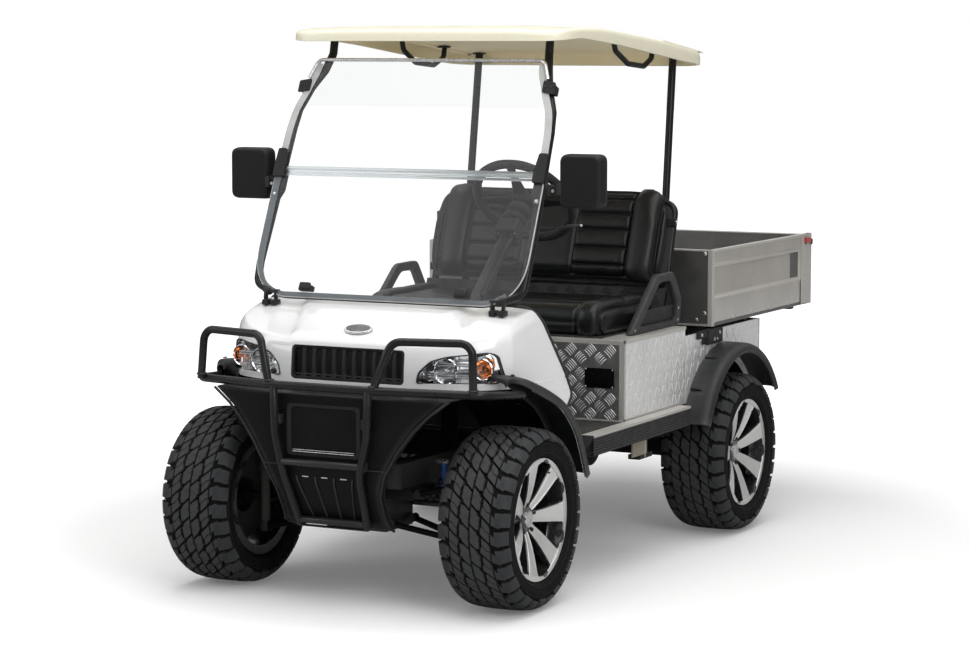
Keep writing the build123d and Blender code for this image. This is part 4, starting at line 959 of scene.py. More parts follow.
lamps = Piece("lamp_units", "chassis", BLACK_PLASTIC, CHROME, AMBER, BRIGHT)
for side in (1, -1):
    edge = soften(LAMP, 12, n=4)
    # black gasket round the opening, then the housing's funnel behind the lens
    rows = []
    for inset, back in ((-1.5, 1.0), (-2.2, -0.8), (3.0, -0.6), (3.4, 3.0), (6.0, 20.0), (20.0, 62.0)):
        mx = sum(p[0] for p in edge) / len(edge)
        mz = sum(p[1] for p in edge) / len(edge)
        row = []
        for x, z in edge:
            d = hypot(x - mx, z - mz)
            k = (d - inset) / d
            px, pz = mx + (x - mx) * k, mz + (z - mz) * k
            row.append(P(side * px, on_cowl(px, pz) + back + (8 if back > 30 else 0), pz))
        rows.append(row)
    lamps.grid(rows[:4], close_u=True, mat=0)
    lamps.grid(rows[3:], close_u=True, mat=1)
    lamps.faces(rows[-1], [tuple(range(len(rows[-1])))], 1)
    # main reflector bowl, its bulb and ring, then the indicator's bowl
    for cx, cz, big, mat, tip in ((338, 762, 40, 1, 3), (446, 768, 33, 1, 2)):
        cy = on_cowl(cx, cz) + 12
        bowl = [(big, 0), (big * 0.97, 3), (big * 0.8, 20), (big * 0.5, 34), (big * 0.22, 40)]
        lamps.lathe(bowl, (side * cx, cy, cz), axis="Y", seg=40, closed=False, mat=mat)
        ring = [(big + 2.5, 0), (big, -2.0), (big - 2.0, 0), (big, 2.0)]
        lamps.lathe(ring, (side * cx, cy, cz), axis="Y", seg=40, mat=1)
        bulb = [(0.4, 6), (7, 8), (9, 14), (8.5, 30), (6, 40)] if tip == 3 else \
            [(0.4, 1), (15, 3), (24, 9), (26, 18), (24, 32), (12, 38)]
        lamps.lathe(bulb, (side * cx, cy, cz), axis="Y", seg=24, closed=False, mat=tip)
    # bright strips across the reflector
    for dz in (-21, -13, 17, 24):
        lamps.box((side * 272, on_cowl(300, 760) + 30, 762 + dz - 1.6),
                  (side * 432, on_cowl(300, 760) + 52, 762 + dz + 1.6), r=1, mat=3)
lamps.done(replaces=("headlights",), slot="lamp_lens")

# plain oval plate on the bonnet
badge = Piece("bonnet_oval", "chassis", BRIGHT, BLACK_METAL)
spot = (10, -88, 877)
tilt = placed(spot, (1, 0, 0), (0, -0.40, 0.92))
for (a, b, low, high, mat) in ((50, 29, -2, 5.5, 0), (44, 23.5, 4.5, 6.6, 1)):
    oval = [(a * cos(2 * pi * k / 40), b * sin(2 * pi * k / 40)) for k in range(40)]
    badge.prism(oval, tilt @ Matrix.Translation((0, 0, low / 1000)), high - low, r=1.6, mat=mat)
badge.done(sharp=40, slot="white_body")

# grille: upright slots in a rounded frame
grille = Piece("grille_insert", "chassis", BLACK_PLASTIC, STEEL_BLACK)
gx, g0, g1 = GRILLE[0] - 1.5, GRILLE[1] + 1.5, GRILLE[2] - 1.5
loop = soften([(-gx, g0), (gx, g0), (gx, g1), (-gx, g1)], 15)
rows = []
for inset, y in ((0, -148), (1.0, -150.5), (6.5, -150.5), (8.5, -147), (9.5, -128), (9.5, -124)):
    rows.append([P(x * (gx - inset) / gx, y + 14 * ((z - g0) / (g1 - g0)) ** 3,
                   (z - 769) * (55 - inset) / 55 + 769)
                 for x, z in loop])
grille.grid(rows, close_u=True)
grille.box((-gx + 2, -126, g0 + 1), (gx - 2, -120, g1 - 1), r=1, mat=1)
for k in range(12):
    x = -203.5 + 37 * k
    lo, hi = max(x - 5.5, -gx + 4), min(x + 5.5, gx - 4)
    rows = []
    for z in spaced(g0 + 5, g1 - 5, 9):
        y = -143 + 14 * ((z - g0) / (g1 - g0)) ** 3
        flareout = 5.5 * (1 - smooth(0, 16, min(z - g0 - 5, g1 - 5 - z)))
        a, b = max(lo - flareout, -gx + 3), min(hi + flareout, gx - 3)
        rows.append([P(a, y + 14, z), P(a, y + 2, z), P(a + 2, y, z), P(b - 2, y, z), P(b, y + 2, z),
                     P(b, y + 14, z)])
    grille.grid(rows, close_u=True, cap=True)
for k in range(11):
    x = -185 + 37 * k
    grille.box((x - 11, -141, g0 + 9), (x + 11, -126, g0 + 14), r=1.5, turn=("X", -28))
grille.done(replaces=("grille",), slot="black_plastic")

# ---------------------------------------------------------------- apron and bull bar
apron = Piece("front_apron", "chassis", BLACK_PLASTIC, STEEL_BLACK)
# height, half width
EDGE = [(688, 432), (671, 409), (617, 339), (540, 277), (470, 232), (405, 202), (350, 186), (290, 189),
        (262, 194), (240, 180)]
# height, front
FACE = [(688, -296), (440, -296), (400, -288), (340, -258), (290, -232), (262, -216), (240, -150)]


def apron_front(z):
    return lerp_rows([(-f[0], f[1]) for f in FACE], -z)


def apron_half(z):
    return lerp_rows([(-e[0], e[1]) for e in EDGE], -z)


def swept(x):
    """How far the apron's wings sweep back at a distance from the middle."""
    return 30.0 * smooth(190, 432, abs(x)) ** 1.3


rows = []
for z in [688, 676, 655, 640, 620, 590, 560, 530, 500, 470, 450, 430, 400, 370, 340, 310, 285, 262, 250]:
    half = apron_half(z)
    f = apron_front(z)
    row = []
    for g in (-1.0, -0.985, -0.9, -0.72, -0.56, -0.44, -0.2, 0, 0.2, 0.44, 0.56, 0.72, 0.9, 0.985, 1.0):
        x = half * g
        back = swept(x)
        if abs(g) == 1.0:
            back += 34
        row.append((x, f + back, z))
    rows.append(row)
# shelf from the apron's top back to the cowl
shelf = [(x, y + (-132 - y) * t, 688 if t else z) for t in (1.0, 0.6, 0.02) for x, y, z in rows[0]]
rows = [shelf[k:k + 15] for k in (0, 15, 30)] + rows
apron.grid([[P(*p) for p in row] for row in rows])
apron = apron.done(sharp=40, weighted=False, replaces=("front_panel",), slot="black_plastic", subdiv=1,
                   thick=(4.0, -1.0))
# plate recess
detail = Piece("apron_recess", "chassis", BLACK_PLASTIC, BRIGHT)
loop = soften([(-118, 500), (118, 500), (118, 645), (-118, 645)], 16)
rows = []
for grow, y in ((1.16, -296.5), (1.13, -300), (1.03, -300.5), (1.0, -298), (0.965, -278), (0.95, -276)):
    rows.append([P(x * grow, y, 572.5 + (z - 572.5) * grow) for x, z in loop])
detail.grid(rows, close_u=True)
detail.faces(rows[-1], [tuple(range(len(loop)))])
detail.tube([(-112, -300.2, 503), (112, -300.2, 503)], 1.6, mat=1)
detail.tube([(-112, -299.0, 509), (112, -299.0, 509)], 1.2, mat=1)
# lower louvres with their bright slot heads
for k in range(4):
    top = -105 + 70 * k
    pts = []
    for z in (424, 400, 370, 340, 310, 286, 266):
        x = top * (0.98 - 0.30 * (424 - z) / 160.0)
        pts.append((x, apron_front(z) - 1.5, z))
    detail.tube(pts, 3.0, seg=8)
for x in (-70, 0, 70):
    detail.box((x - 12, apron_front(424) - 2.2, 421), (x + 12, apron_front(424) + 3, 425), r=1.5, mat=1)
# outer edge bead and the step line at mid height
for side in (-1, 1):
    pts = [(side * (apron_half(z) - 3), apron_front(z) + swept(apron_half(z) - 3) + 3, z)
           for z in (686, 640, 590, 520, 440, 370, 300, 262, 246)]
    detail.tube(pts, 4.5, bend=60, seg=10)
    pts = [(side * x, apron_front(458) + swept(x) - 0.6, 458) for x in (158, 180, 205, 222)]
    detail.tube(pts, 1.4, seg=6)
detail.done(slot="black_plastic")

bar = Piece("bull_bar_tubes", "chassis", POWDER, BRIGHT)
BEAM = [(562, -20, 690), (520, -205, 705), (190, -318, 714)]
HOOP = [(189, -318, 714), (240, -285, 868), (490, -222, 868), (498, -232, 708)]
LEG = [(172, -318, 714), (166, -318, 560), (140, -318, 441), (124, -236, 261)]
bar.tube(BEAM + [(-x, y, z) for x, y, z in reversed(BEAM)], 13.5, bend=75, seg=18, step=6)
for side in (-1, 1):
    bar.tube([(side * x, y, z) for x, y, z in HOOP], 13, bend=42, seg=18, step=7)
    bar.tube([(side * x, y, z) for x, y, z in LEG], 13, bend=150, seg=18, step=6)
    bar.tube([(side * 562, -22, 690), (side * 563.5, -14, 689.5)], 11.4, seg=18)
    for z0, z1 in ((590, 620), (455, 485)):
        bar.box((side * 146, -318, z0), (side * 160, -296.3, z1), r=2)
    # weld beads where the tubes meet
    for x, y, z in ((172, -313.7, 701), (189, -313.7, 727), (498, -229, 722)):
        bar.lathe([(15.6, -3), (17.2, -1.4), (17.2, 1.0), (15.0, 3), (12, 3), (12, -3)], (side * x, y, z),
                  axis="Z", seg=24)
for y, z, half in ((-318, 470, 143), (-242, 274, 126)):
    bar.tube([(-half, y, z), (half, y, z)], 11.5, seg=16)
bar.prism([(-128, -6), (128, -6), (132, 6), (-132, 6)], placed((0, -240, 258), (1, 0, 0), (0, 0.3, -1)), 4,
          r=1.5)
bar.done(sharp=40, weighted=False, replaces=("bull_bar",), slot="black_tube")
# ---------------------------------------------------------------- wheel-arch flares
def cowl_half(y):
    """Half width of the cowl's lower edge at a place along the cart."""
    return lerp_rows([(-90, 437), (-85, 440), (40, 520), (400, 520)], y)


def arc_path(cy, cz, r, a0, a1, n):
    """Points round a wheel: angle from straight up, positive to the rear."""
    return [(cy + r * sin(radians(a)), cz + r * cos(radians(a))) for a in spaced(a0, a1, n)]


def spline(points, n):
    """Catmull-Rom points through a 2-D polyline."""
    out = []
    pts = [Vector(p) for p in points]
    pts = [pts[0] * 2 - pts[1]] + pts + [pts[-1] * 2 - pts[-2]]
    spans = len(pts) - 3
    for i in range(spans):
        a, b, c, d = pts[i:i + 4]
        for k in range(n):
            t = k / n
            out.append(0.5 * ((2 * b) + (c - a) * t + (2 * a - 5 * b + 4 * c - d) * t * t
                              + (3 * b - a - 3 * c + d) * t ** 3))
    out.append(pts[-2])
    return out


FRONT_CREST = [(-58, 738, 526), (-53, 747, 530), (-38, 752, 545), (-8, 745, 575), (46, 719, 602),
               (110, 690, 614), (170, 659, 622), (210, 628, 626), (247, 592, 628), (276, 556, 630),
               (303, 512, 631), (330, 458, 631), (360, 396, 631)]
for side, word in ((1, "left"), (-1, "right")):
    piece = Piece(f"flare_front_{word}", "chassis", FLARE_PLASTIC, STEEL_BLACK, BRIGHT, BLACK_AND_PAINTED_WELL_SHADE)
    crest = spline([(y, z) for y, z, wide in FRONT_CREST], 3)
    wides = spline([(y, wide) for y, z, wide in FRONT_CREST], 3)
    rows, strip = [], []
    for i, (p, w) in enumerate(zip(crest, wides)):
        before, after = crest[max(i - 1, 0)], crest[min(i + 1, len(crest) - 1)]
        t = (after - before).normalized()
        inward = Vector((-abs(t.y), -abs(t.x))) if t.y < 0 else Vector((0.15, -1)).normalized()
        wide = w.y
        inner = min(cowl_half(p.x) + 0.6, wide - 16)
        lip = 8 + 14 * smooth(-56, 60, p.x)
        deep = 10 + 30 * smooth(-56, 60, p.x)
        section = [(inner, deep), (inner, 3.0), (inner + 5, 0.5), (inner + (wide - inner) * 0.35, -0.5),
                   (inner + (wide - inner) * 0.7, 1.5), (wide - 7, 5.0), (wide - 1.5, 10.0), (wide, 15.0),
                   (wide - 0.5, 14.0 + lip), (wide - 3.0, 16.0 + lip), (wide - 6, 14.0 + lip),
                   (wide - 8, 17.0), (wide - 14, 11.0), (inner + (wide - inner) * 0.5, 6.5), (inner + 5, 7.0),
                   (inner + 4, deep)]
        rows.append([P(side * x, p.x + inward.x * d, p.y + inward.y * d) for x, d in section])
        if p.x > 10:
            strip.append((side * (wide - 12), p.x + inward.x * 24 - 2, p.y + inward.y * 24 - 3))
    piece.grid(rows, close_u=True, cap=True)
    piece.tube(strip, 3.2, mat=2, flat=(2.6, 10.0), seg=8)
    piece.bolt(P(side * 534, -30, 750.5), Vector((side * 0.12, -0.05, 1)), r=7.5, h=4, kind="dome", mat=1)
    for y, z in ((282, 520), (338, 404)):
        piece.bolt(P(side * 616, y, z), Vector((0, -0.85, -0.5)), r=6, h=8, kind="hex", mat=2)
    # wheel-well sheet over the tyre, matte black with almost no reflection: painted shade in the well
    line = [(361.5, 392.6), (335.5, 451), (307.5, 501.5), (273, 542), (233.5, 581.5), (180, 618),
            (121.5, 654.5), (60, 683.6), (-127.5, 683.6)]
    thick = [(356.5, 392.6), (330.5, 449.4), (303.5, 498.5), (269, 539), (231.3, 577.5), (178, 614.5),
             (119.5, 650.6), (58, 679.5), (-127.5, 679.5)]
    sheet = []
    for (y0, z0), (y1, z1) in zip(line, thick):
        sheet.append([P(side * 262.5, y0, z0), P(side * 520, y0, z0), P(side * 520, y1, z1),
                      P(side * 262.5, y1, z1)])
    piece.grid(sheet, close_u=True, cap=True, mat=3)
    for y, z, ny, nz in ((140, 638, -0.5, -0.86), (268, 536, -0.75, -0.66), (331, 446, -0.93, -0.35)):
        piece.bolt(P(side * 470, y, z), Vector((0, ny, nz)), r=7, h=3, kind="dome", mat=1)
    piece.done(sharp=34, replaces=("front_flares",), slot="flare_plastic")

for side, word in ((1, "left"), (-1, "right")):
    path = arc_path(AXLE_R, 292, 404, -68.5, 58, 43)
    piece = Piece(f"flare_rear_{word}", "chassis", FLARE_PLASTIC, STEEL_BLACK, BRIGHT)
    rows = []
    for y, z in path:
        out_ = Vector((y - AXLE_R, z - 292)).normalized()
        section = [(568, 372), (568, 399), (573, 404.5), (600, 404.5), (634, 404), (648, 402.5), (658, 399),
                   (665, 393.5), (669.5, 386), (671.5, 379), (670, 374.5), (664, 367.5), (659.5, 367),
                   (658, 374), (651, 384), (636, 390), (600, 391.5), (576, 391.5), (573, 372)]
        rows.append([P(side * x, AXLE_R + out_.x * r, 292 + out_.y * r) for x, r in section])
    piece.grid(rows, close_u=True, cap=True)
    for a in (-50, -26, 26, 50):
        t = radians(a)
        piece.bolt(P(side * 570, AXLE_R + 411 * sin(t), 292 + 411 * cos(t)), Vector((side, 0, 0)), r=5.5, h=6,
                   kind="dome", mat=2)
    flare = piece.done(sharp=34, replaces=("rear_flares",), slot="flare_plastic")
    # screw pockets scooped into the band, pointing out from the body
    pockets = []
    for a in (-50, -26, 26, 50):
        t = radians(a)
        out_, along = Vector((sin(t), cos(t))), Vector((cos(t), -sin(t)))
        origin = P(side * 560, AXLE_R + out_.x * 394, 292 + out_.y * 394)
        where = Matrix(((side, 0, 0, 0), (0, along.x, out_.x, 0), (0, along.y, out_.y, 0), (0, 0, 0, 1)))
        where.translation = origin
        outline = [(0, -10), (52, -3), (56, 0), (52, 3), (0, 10)]
        pockets.append(cutter(outline if side == 1 else list(reversed(outline)), where, 24,
                              name=f"pocket_{a}"))
    hollow(flare, pockets)
    flare.data.shade_smooth()
    flare.data.set_sharp_from_angle(angle=radians(34))

# ---------------------------------------------------------------- floor, sills
deck = Piece("floor_dressed", "chassis", MAT, STEEL_BLACK)
deck.box((-569, 415, 491), (569, 1296, 503), r=3, mat=1)
deck.box((-560, 430, 502.5), (560, 752, 504), r=1)
for k in range(46):
    x = -540 + 24 * k
    deck.box((x - 4, 436, 503.4), (x + 4, 748, 505), r=0.9, seg=1)
toe = placed((0, 421, 505), (-1, 0, 0), (0, 0.93, 0.37))
deck.prism([(-507, 0), (507, 0), (507, 232), (-507, 232)], toe @ Matrix.Translation((0, 0, -0.004)), 8, r=2)
for k in range(42):
    x = -492 + 24 * k
    deck.prism([(x - 4, 14), (x + 4, 14), (x + 4, 224), (x - 4, 224)],
               toe @ Matrix.Translation((0, 0, -0.0056)), 2.0, r=0.7, seg=1)
deck.done(replaces=("floor",), slot="floor_mat")

for side, word in ((1, "left"), (-1, "right")):
    sill = Piece(f"sill_{word}", "chassis", BLACK_PLASTIC, ALLOY_SHEET, STEEL_BLACK, BRIGHT, BEIGE)
    a, b = 400, 1228
    section = [(571, 440), (571, 507), (573, 509), (617, 509), (619, 507)]
    for k in range(7):
        z = 500 - k * 8.6
        section += [(619.5, z), (619.5, z - 5.0), (616.6, z - 5.6), (616.6, z - 8.0)]
    section += [(617, 440), (614, 438.5), (574, 438.5)]
    rows = [[P(side * x, y, z) for x, z in section] for y in (a, b)]
    sill.grid(rows, close_u=True, cap=True, mat=lambda i, j: 0)
    sill.box((side * 573, a + 1, 507), (side * 620, b - 1, 510), r=1.2, mat=1)
    sill.box((side * 617.4, a + 1, 501.5), (side * 620, b - 1, 509.5), r=0.8, mat=1)
    for y in (520, 1130):
        sill.box((side * 245.5, y - 20, 438), (side * 571, y + 20, 470), r=3, mat=2)
    for y in spaced(440, 1190, 6):
        sill.bolt(P(side * 596, y, 510 - 3), Vector((0, 0, 1)), r=5, h=2.9, kind="dome", mat=3)
    sill.box((side * 560, 838, 372), (side * 566, 962, 440), r=1.5, mat=4)
    sill.box((side * 545, 942, 360), (side * 566.5, 948, 440), r=1.5, mat=1)
    sill.box((side * 520, 900, 356), (side * 566, 1010, 374), r=3, mat=2)
    sill.done(sharp=30, replaces=("sills",), slot="sill_plastic")


# ---------------------------------------------------------------- checker plate
def tread_bar(piece, where, u, v, angle, length, wide, high, curve=0.0, mat=0):
    """A lens-shaped raised bar on a plate."""
    rows = []
    c, s = cos(radians(angle)), sin(radians(angle))
    for k in range(7):
        t = -1 + 2 * k / 6
        fat = wide / 2 * sqrt(max(0.0, 1 - t * t)) + 0.12
        mid = curve * (1 - t * t)
        row = []
        for f, h in ((-1, -0.3), (-0.55, high * 0.8), (0.0, high), (0.55, high * 0.8), (1, -0.3)):
            a, b = t * length / 2, mid + f * fat
            h = h if abs(t) < 0.99 else -0.2
            row.append(where @ Vector(((u + a * c - b * s) / 1000, (v + a * s + b * c) / 1000, h / 1000)))
        rows.append(row)
    piece.grid(rows, mat=mat)


def five_bars(piece, where, low, high, pitch=(37.0, 27.5), keep=None, mat=0):
    """Groups of five curved bars on a staggered lattice, turned a right angle from column to column."""
    across, along = pitch
    nu = int((high[0] - low[0] - across) / across) + 1
    nv = int((high[1] - low[1] - along) / along) + 1
    du = ((high[0] - low[0]) - (nu - 1) * across) / 2
    dv = ((high[1] - low[1]) - (nv - 1) * along) / 2
    for i in range(nu):
        for j in range(nv):
            u, v = low[0] + du + i * across, low[1] + dv + j * along
            if (i + j) % 2 or (keep and not keep(u, v)):
                continue
            angle = 45 if i % 2 else -45
            c, s = cos(radians(angle)), sin(radians(angle))
            for k in range(5):
                off = (k - 2) * 8.0
                tread_bar(piece, where, u - off * s, v + off * c, angle, 40.0 - abs(k - 2) * 2.0, 4.6, 1.9,
                          curve=3.0 - 0.8 * abs(k - 2), mat=mat)


def diamonds(piece, where, low, high, pitch=(30.0, 42.0), keep=None, mat=0):
    nu = int((high[0] - low[0]) / pitch[0])
    nv = int((high[1] - low[1]) / pitch[1])
    for i in range(nu):
        for j in range(nv):
            u = low[0] + (i + 0.5) * (high[0] - low[0]) / nu
            v = low[1] + (j + 0.5) * (high[1] - low[1]) / nv
            if keep and not keep(u, v):
                continue
            tread_bar(piece, where, u, v, 62 if (i + j) % 2 else -62, 46.0, 10.0, 1.8, mat=mat)


base = Piece("seat_box", "chassis", CHECKER, ALLOY_SHEET, BLACK_AND_PAINTED_WELL_SHADE, BRIGHT, CHECKER_PAINTED_SHADE, CHECKER_BAR_PAINTED_HIGHLIGHT)
base.box((-568, 752, 505.5), (568, 1295, 784), r=3)
# front skin in the darker checker aluminium: painted shade
base.box((-568, 750.6, 506), (568, 753, 784), r=0.4, seg=1, mat=4)
front = placed((0, 750.6, 0), (1, 0, 0), (0, -1, 0))
# raised bars in the lighter checker aluminium: painted highlight
five_bars(base, front, (-550, 508), (550, 768), mat=5,
          keep=lambda u, v: not (414 < u < 544 and 612 < v < 696))
for side in (1, -1):
    flank = placed((side * 568, 0, 0), (0, side, 0), (side, 0, 0))
    lo, hi = ((772, 512) if side == 1 else (-1290, 512)), ((1290, 772) if side == 1 else (-772, 772))
    # raised bars in the lighter checker aluminium: painted highlight
    diamonds(base, flank, lo, hi, mat=5)
    # folded edge strips
    base.box((side * 552, 749, 508), (side * 570, 754, 786), r=1.2, mat=1)
    base.box((side * 567, 749, 508), (side * 570, 766, 786), r=1.2, mat=1)
    base.box((side * 567, 750.4, 774), (side * 570, 1296, 786), r=1.2, mat=1)
    base.box((side * 567, 750.4, 505.5), (side * 570, 1228, 516), r=1.2, mat=1)
base.box((-570, 750.4, 770), (570, 753.5, 786), r=1.2, mat=1)
base.box((-570, 748, 505.3), (570, 754, 512), r=1.2, mat=1)
base.box((-569, 751, 783), (569, 1295, 786), r=1.0, mat=1)
# charging socket in its black frame
base.box((424, 744, 620), (534, 754, 688), r=4, mat=2)
base.box((432, 741.5, 627), (526, 748, 681), r=3, mat=2)
base.box((446, 738.5, 636), (512, 744, 672), r=5, mat=2)
for x, z in ((429, 684), (529, 684), (429, 624), (529, 624)):
    base.bolt(P(x, 744, z), Vector((0, -1, 0)), r=3.4, h=2.2, kind="dome", mat=3)
base.done(sharp=30, replaces=("seat_base",), slot="checker_plate")

BODY_END = 2023.0
rear = Piece("rear_box", "chassis", CHECKER, ALLOY_SHEET, STEEL_BLACK, BRIGHT, CHECKER_PAINTED_SHADE, CHECKER_BAR_PAINTED_HIGHLIGHT,
             BLACK_AND_PAINTED_WELL_SHADE)
for side in (1, -1):
    arch = [(AXLE_R + 346 * sin(radians(a)), 292 + 346 * cos(radians(a))) for a in spaced(-51, 51.8, 25)]
    outline = [(1296.5, 506), (arch[0][0], 506)] + arch + [(arch[-1][0], 506), (BODY_END, 506),
                                                           (BODY_END, 751), (1296.5, 751)]
    outline = [(y * side, z) for y, z in outline]
    where = placed((side * 566, 0, 0), (0, side, 0), (side, 0, 0))
    rear.prism(outline if side == 1 else list(reversed(outline)), where, 3, r=0.6, seg=1)
    flank = placed((side * 569, 0, 0), (0, side, 0), (side, 0, 0))
    lo, hi = ((1300, 510), (2019, 748)) if side == 1 else ((-2019, 510), (-1300, 748))
    # raised bars in the lighter checker aluminium: painted highlight
    diamonds(rear, flank, lo, hi, mat=5, keep=lambda u, v: hypot(abs(u) - AXLE_R, v - 292) > 374)
    rear.box((side * 547, 2009, 506), (side * 570, BODY_END + 0.5, 751), r=1.2, mat=1)
    # black bracket and bolts where the bed rests on the body
    rear.box((side * 566, 1392, 728), (side * 578, 1500, 757), r=3, mat=2)
    rear.box((side * 566, 1480, 700), (side * 582, 1622, 758), r=5, mat=2)
    rear.box((side * 566, 1440, 704), (side * 574, 1500, 730), r=3, mat=2)
    for y, z, r in ((1420, 742, 7), (1540, 716, 9), (1566, 716, 6), (1590, 738, 8)):
        rear.bolt(P(side * 580, y, z), Vector((side, 0, 0)), r=r, h=4, kind="dome", mat=3)
# rear skins in the darker checker aluminium: painted shade
rear.box((-569, BODY_END - 3.5, 506), (569, BODY_END, 641), r=1.0, mat=4)
for side in (1, -1):
    rear.box((side * 271, BODY_END - 3.5, 636), (side * 569, BODY_END, 751), r=1.0, mat=4)
    # inner arch skins behind the flares, matte black with almost no reflection: painted shade in the arch
    rows = []
    for a in spaced(-51, 51.8, 25):
        rows.append([P(side * x, AXLE_R + r * sin(radians(a)), 292 + r * cos(radians(a)))
                     for x, r in ((566, 346), (360, 346), (360, 349), (566, 349))])
    rear.grid(rows, close_u=True, cap=True, mat=6)
back = placed((0, BODY_END, 0), (-1, 0, 0), (0, 1, 0))
# raised bars in the lighter checker aluminium: painted highlight
five_bars(rear, back, (-560, 510), (560, 640), mat=5)
rear.done(sharp=30, replaces=("rear_body",), slot="checker_plate")

# ---------------------------------------------------------------- cargo bed and tailgate
bed = Piece("bed_dressed", "cargo_bed", ALLOY_SHEET, BRIGHT, STEEL_BLACK, RED, ALLOY_PAINTED_SHADE)
Y0, Y1 = 1508.0, 2552.0
# floor, floor ribs, inner liners, slot and front board in the darker aluminium: painted shade
bed.box((-581, Y0 + 1, 766), (581, 2521, 779), r=2, mat=4)
for k in range(13):
    x = -520 + k * 86.7
    bed.box((x - 14, Y0 + 24, 777), (x + 14, 2512, 780), r=2.4, mat=4)
for side in (1, -1):
    # pressed side: outer skin with two ribs round a sunk band
    skin_rows = []
    profile = [(580, 766), (580, 858), (582.8, 861), (582.8, 868), (580.4, 871), (576, 874), (571.5, 879),
               (571.5, 976), (575, 979), (580.4, 981), (582.8, 985), (582.8, 992), (580, 996), (580, 1034),
               (582.6, 1037), (582.6, 1044), (581, 1045), (565, 1045), (563.6, 1043.6), (563.6, 766)]
    for y, sunk in ((Y0 + 18, 1), (2428, 1), (2436, 0), (2551, 0)):
        row = []
        for x, z in profile:
            keep_flat = not sunk and z < 1030 and x > 570
            row.append(P(side * (580 if keep_flat else x), y, z))
        skin_rows.append(row)
    bed.grid(skin_rows, close_u=True, cap=True)
    bed.box((side * 562.2, Y0 + 19, 779), (side * 564, 2496, 1040), r=0.6, seg=1, mat=4)
    # bright corner angle, rear post and bolts
    bed.box((side * 564, Y0, 765), (side * 583, Y0 + 20, 1045), r=2.2, mat=4)
    bed.box((side * 565, Y0 - 0.4, 765), (side * 583, Y0 + 3, 1045), r=1.2)
    bed.box((side * 580.6, Y0 - 0.4, 765), (side * 583.4, Y0 + 22, 1045), r=1.2)
    bed.box((side * 563.5, 2496, 765), (side * 583, Y1, 1045), r=2.2)
    bed.box((side * 580.5, 2440, 770), (side * 582.8, 2493, 1036), r=0.9)
    bed.box((side * 581.5, 2526, 900), (side * 583.6, 2532, 985), r=0.9, mat=1)
    bed.box((side * 570.5, 2340, 880), (side * 573.2, 2424, 976), r=1.0, mat=4)
    bed.box((side * 580.4, 2430, 770), (side * 582.9, 2436, 868), r=0.9, mat=4)
    for y in (1536, 1726, 1916, 2106, 2300):
        bed.bolt(P(side * 580, y, 784), Vector((side, 0, 0)), r=8.5, h=3.2, kind="dome", mat=1)
    bed.bolt(P(side * 580.8, 2478, 868), Vector((side, 0, 0)), r=7.0, h=2.4, kind="dome", mat=1)
    # latch of the tailgate: red handle on a small black body
    bed.box((side * 575, 2474, 1002), (side * 584, 2500, 1032), r=3, mat=2)
    bed.tube([(side * 586, 2472, 1019), (side * 587, 2500, 1021), (side * 586, 2530, 1014)], 6, bend=20,
             seg=10, mat=3, flat=(7, 22))
    bed.tube([(side * 586, 2530, 1014), (side * 585, 2548, 1010)], 6, seg=10, mat=2, flat=(8, 23))
    bed.bolt(P(side * 579, 2512, 1026), Vector((side * 0.3, 0, 1)), r=5, h=8, kind="dome", mat=1)
    # inside bracing and tipping lugs
    bed.box((side * 552, 1540, 780), (side * 564, 2490, 812), r=3)
    lug = soften([(2218, 766), (2218, 734), (2230, 724), (2250, 724), (2262, 734), (2262, 766)], 8)
    bed.prism(lug, placed((min(side * 249, side * 261), 0, 0), (0, 1, 0), (1, 0, 0)), 12, r=1.2, mat=2)
bed.box((-566, Y0 + 1.5, 766), (566, Y0 + 20, 1043), r=1.6, mat=4)
bed.box((-566, Y0, 1038), (566, Y0 + 21, 1045), r=2.0)
bed.box((-566, Y0, 765), (566, Y0 + 4, 773), r=1.2)
for x in spaced(-520, 520, 4):
    bed.bolt(P(x, Y0 + 2.6, 787), Vector((0, -1, 0)), r=8, h=3, kind="dome", mat=1)
for x in (-551, 551):
    for z in (812, 1030):
        bed.bolt(P(x, Y0 + 2.6, z), Vector((0, -1, 0)), r=8.5, h=3, kind="dome", mat=1)
# under-bed members
for y in (1600, 1900, 2400):
    bed.box((-560, y - 18, 752), (560, y + 18, 767), r=2, mat=2)
bed.done(sharp=30, replaces=("cargo_bed",), slot="bed_aluminium")

gate = Piece("gate_dressed", "tailgate", ALLOY_SHEET, BRIGHT, STEEL_BLACK, ALLOY_PAINTED_SHADE)
profile = [(2531, 771), (2550, 771), (2550, 862), (2551.6, 868), (2551.6, 876), (2545, 884), (2545, 972),
           (2551.6, 980), (2551.6, 990), (2550, 996), (2550, 1036), (2551.6, 1039), (2551, 1041),
           (2532, 1041), (2531, 1039)]
rows = []
for x, sunk in ((-557.5, 0), (-520, 0), (-506, 1), (506, 1), (520, 0), (557.5, 0)):
    rows.append([P(x, y if (sunk or y < 2540) else 2550, z) for y, z in profile])
gate.grid(rows, close_u=True, cap=True)
# the gate's inner liner in the darker aluminium: painted shade
gate.box((-556, 2529.6, 773), (556, 2531.4, 1038), r=0.6, seg=1, mat=3)
for x in (-430, 430):
    gate.box((x - 30, 2531, 771), (x + 30, 2534, 800), r=1.2, mat=2)
for x in (-540, 540):
    for z in (820, 1010):
        gate.bolt(P(x, 2549.6, z), Vector((0, 1, 0)), r=6.0, h=2.2, kind="dome", mat=1)
gate.done(sharp=30, replaces=("tailgate",), slot="bed_aluminium")
# ---------------------------------------------------------------- roof
ROOF_TOP = [(350, 1836), (420, 1846), (520, 1852), (700, 1850), (900, 1835), (1080, 1820), (1220, 1808),
            (1400, 1788), (1600, 1765)]
ROOF_EDGE = [(350, 1800), (420, 1806), (500, 1811), (649, 1801), (813, 1788), (982, 1771), (1156, 1753),
             (1337, 1735), (1581, 1713), (1600, 1711)]

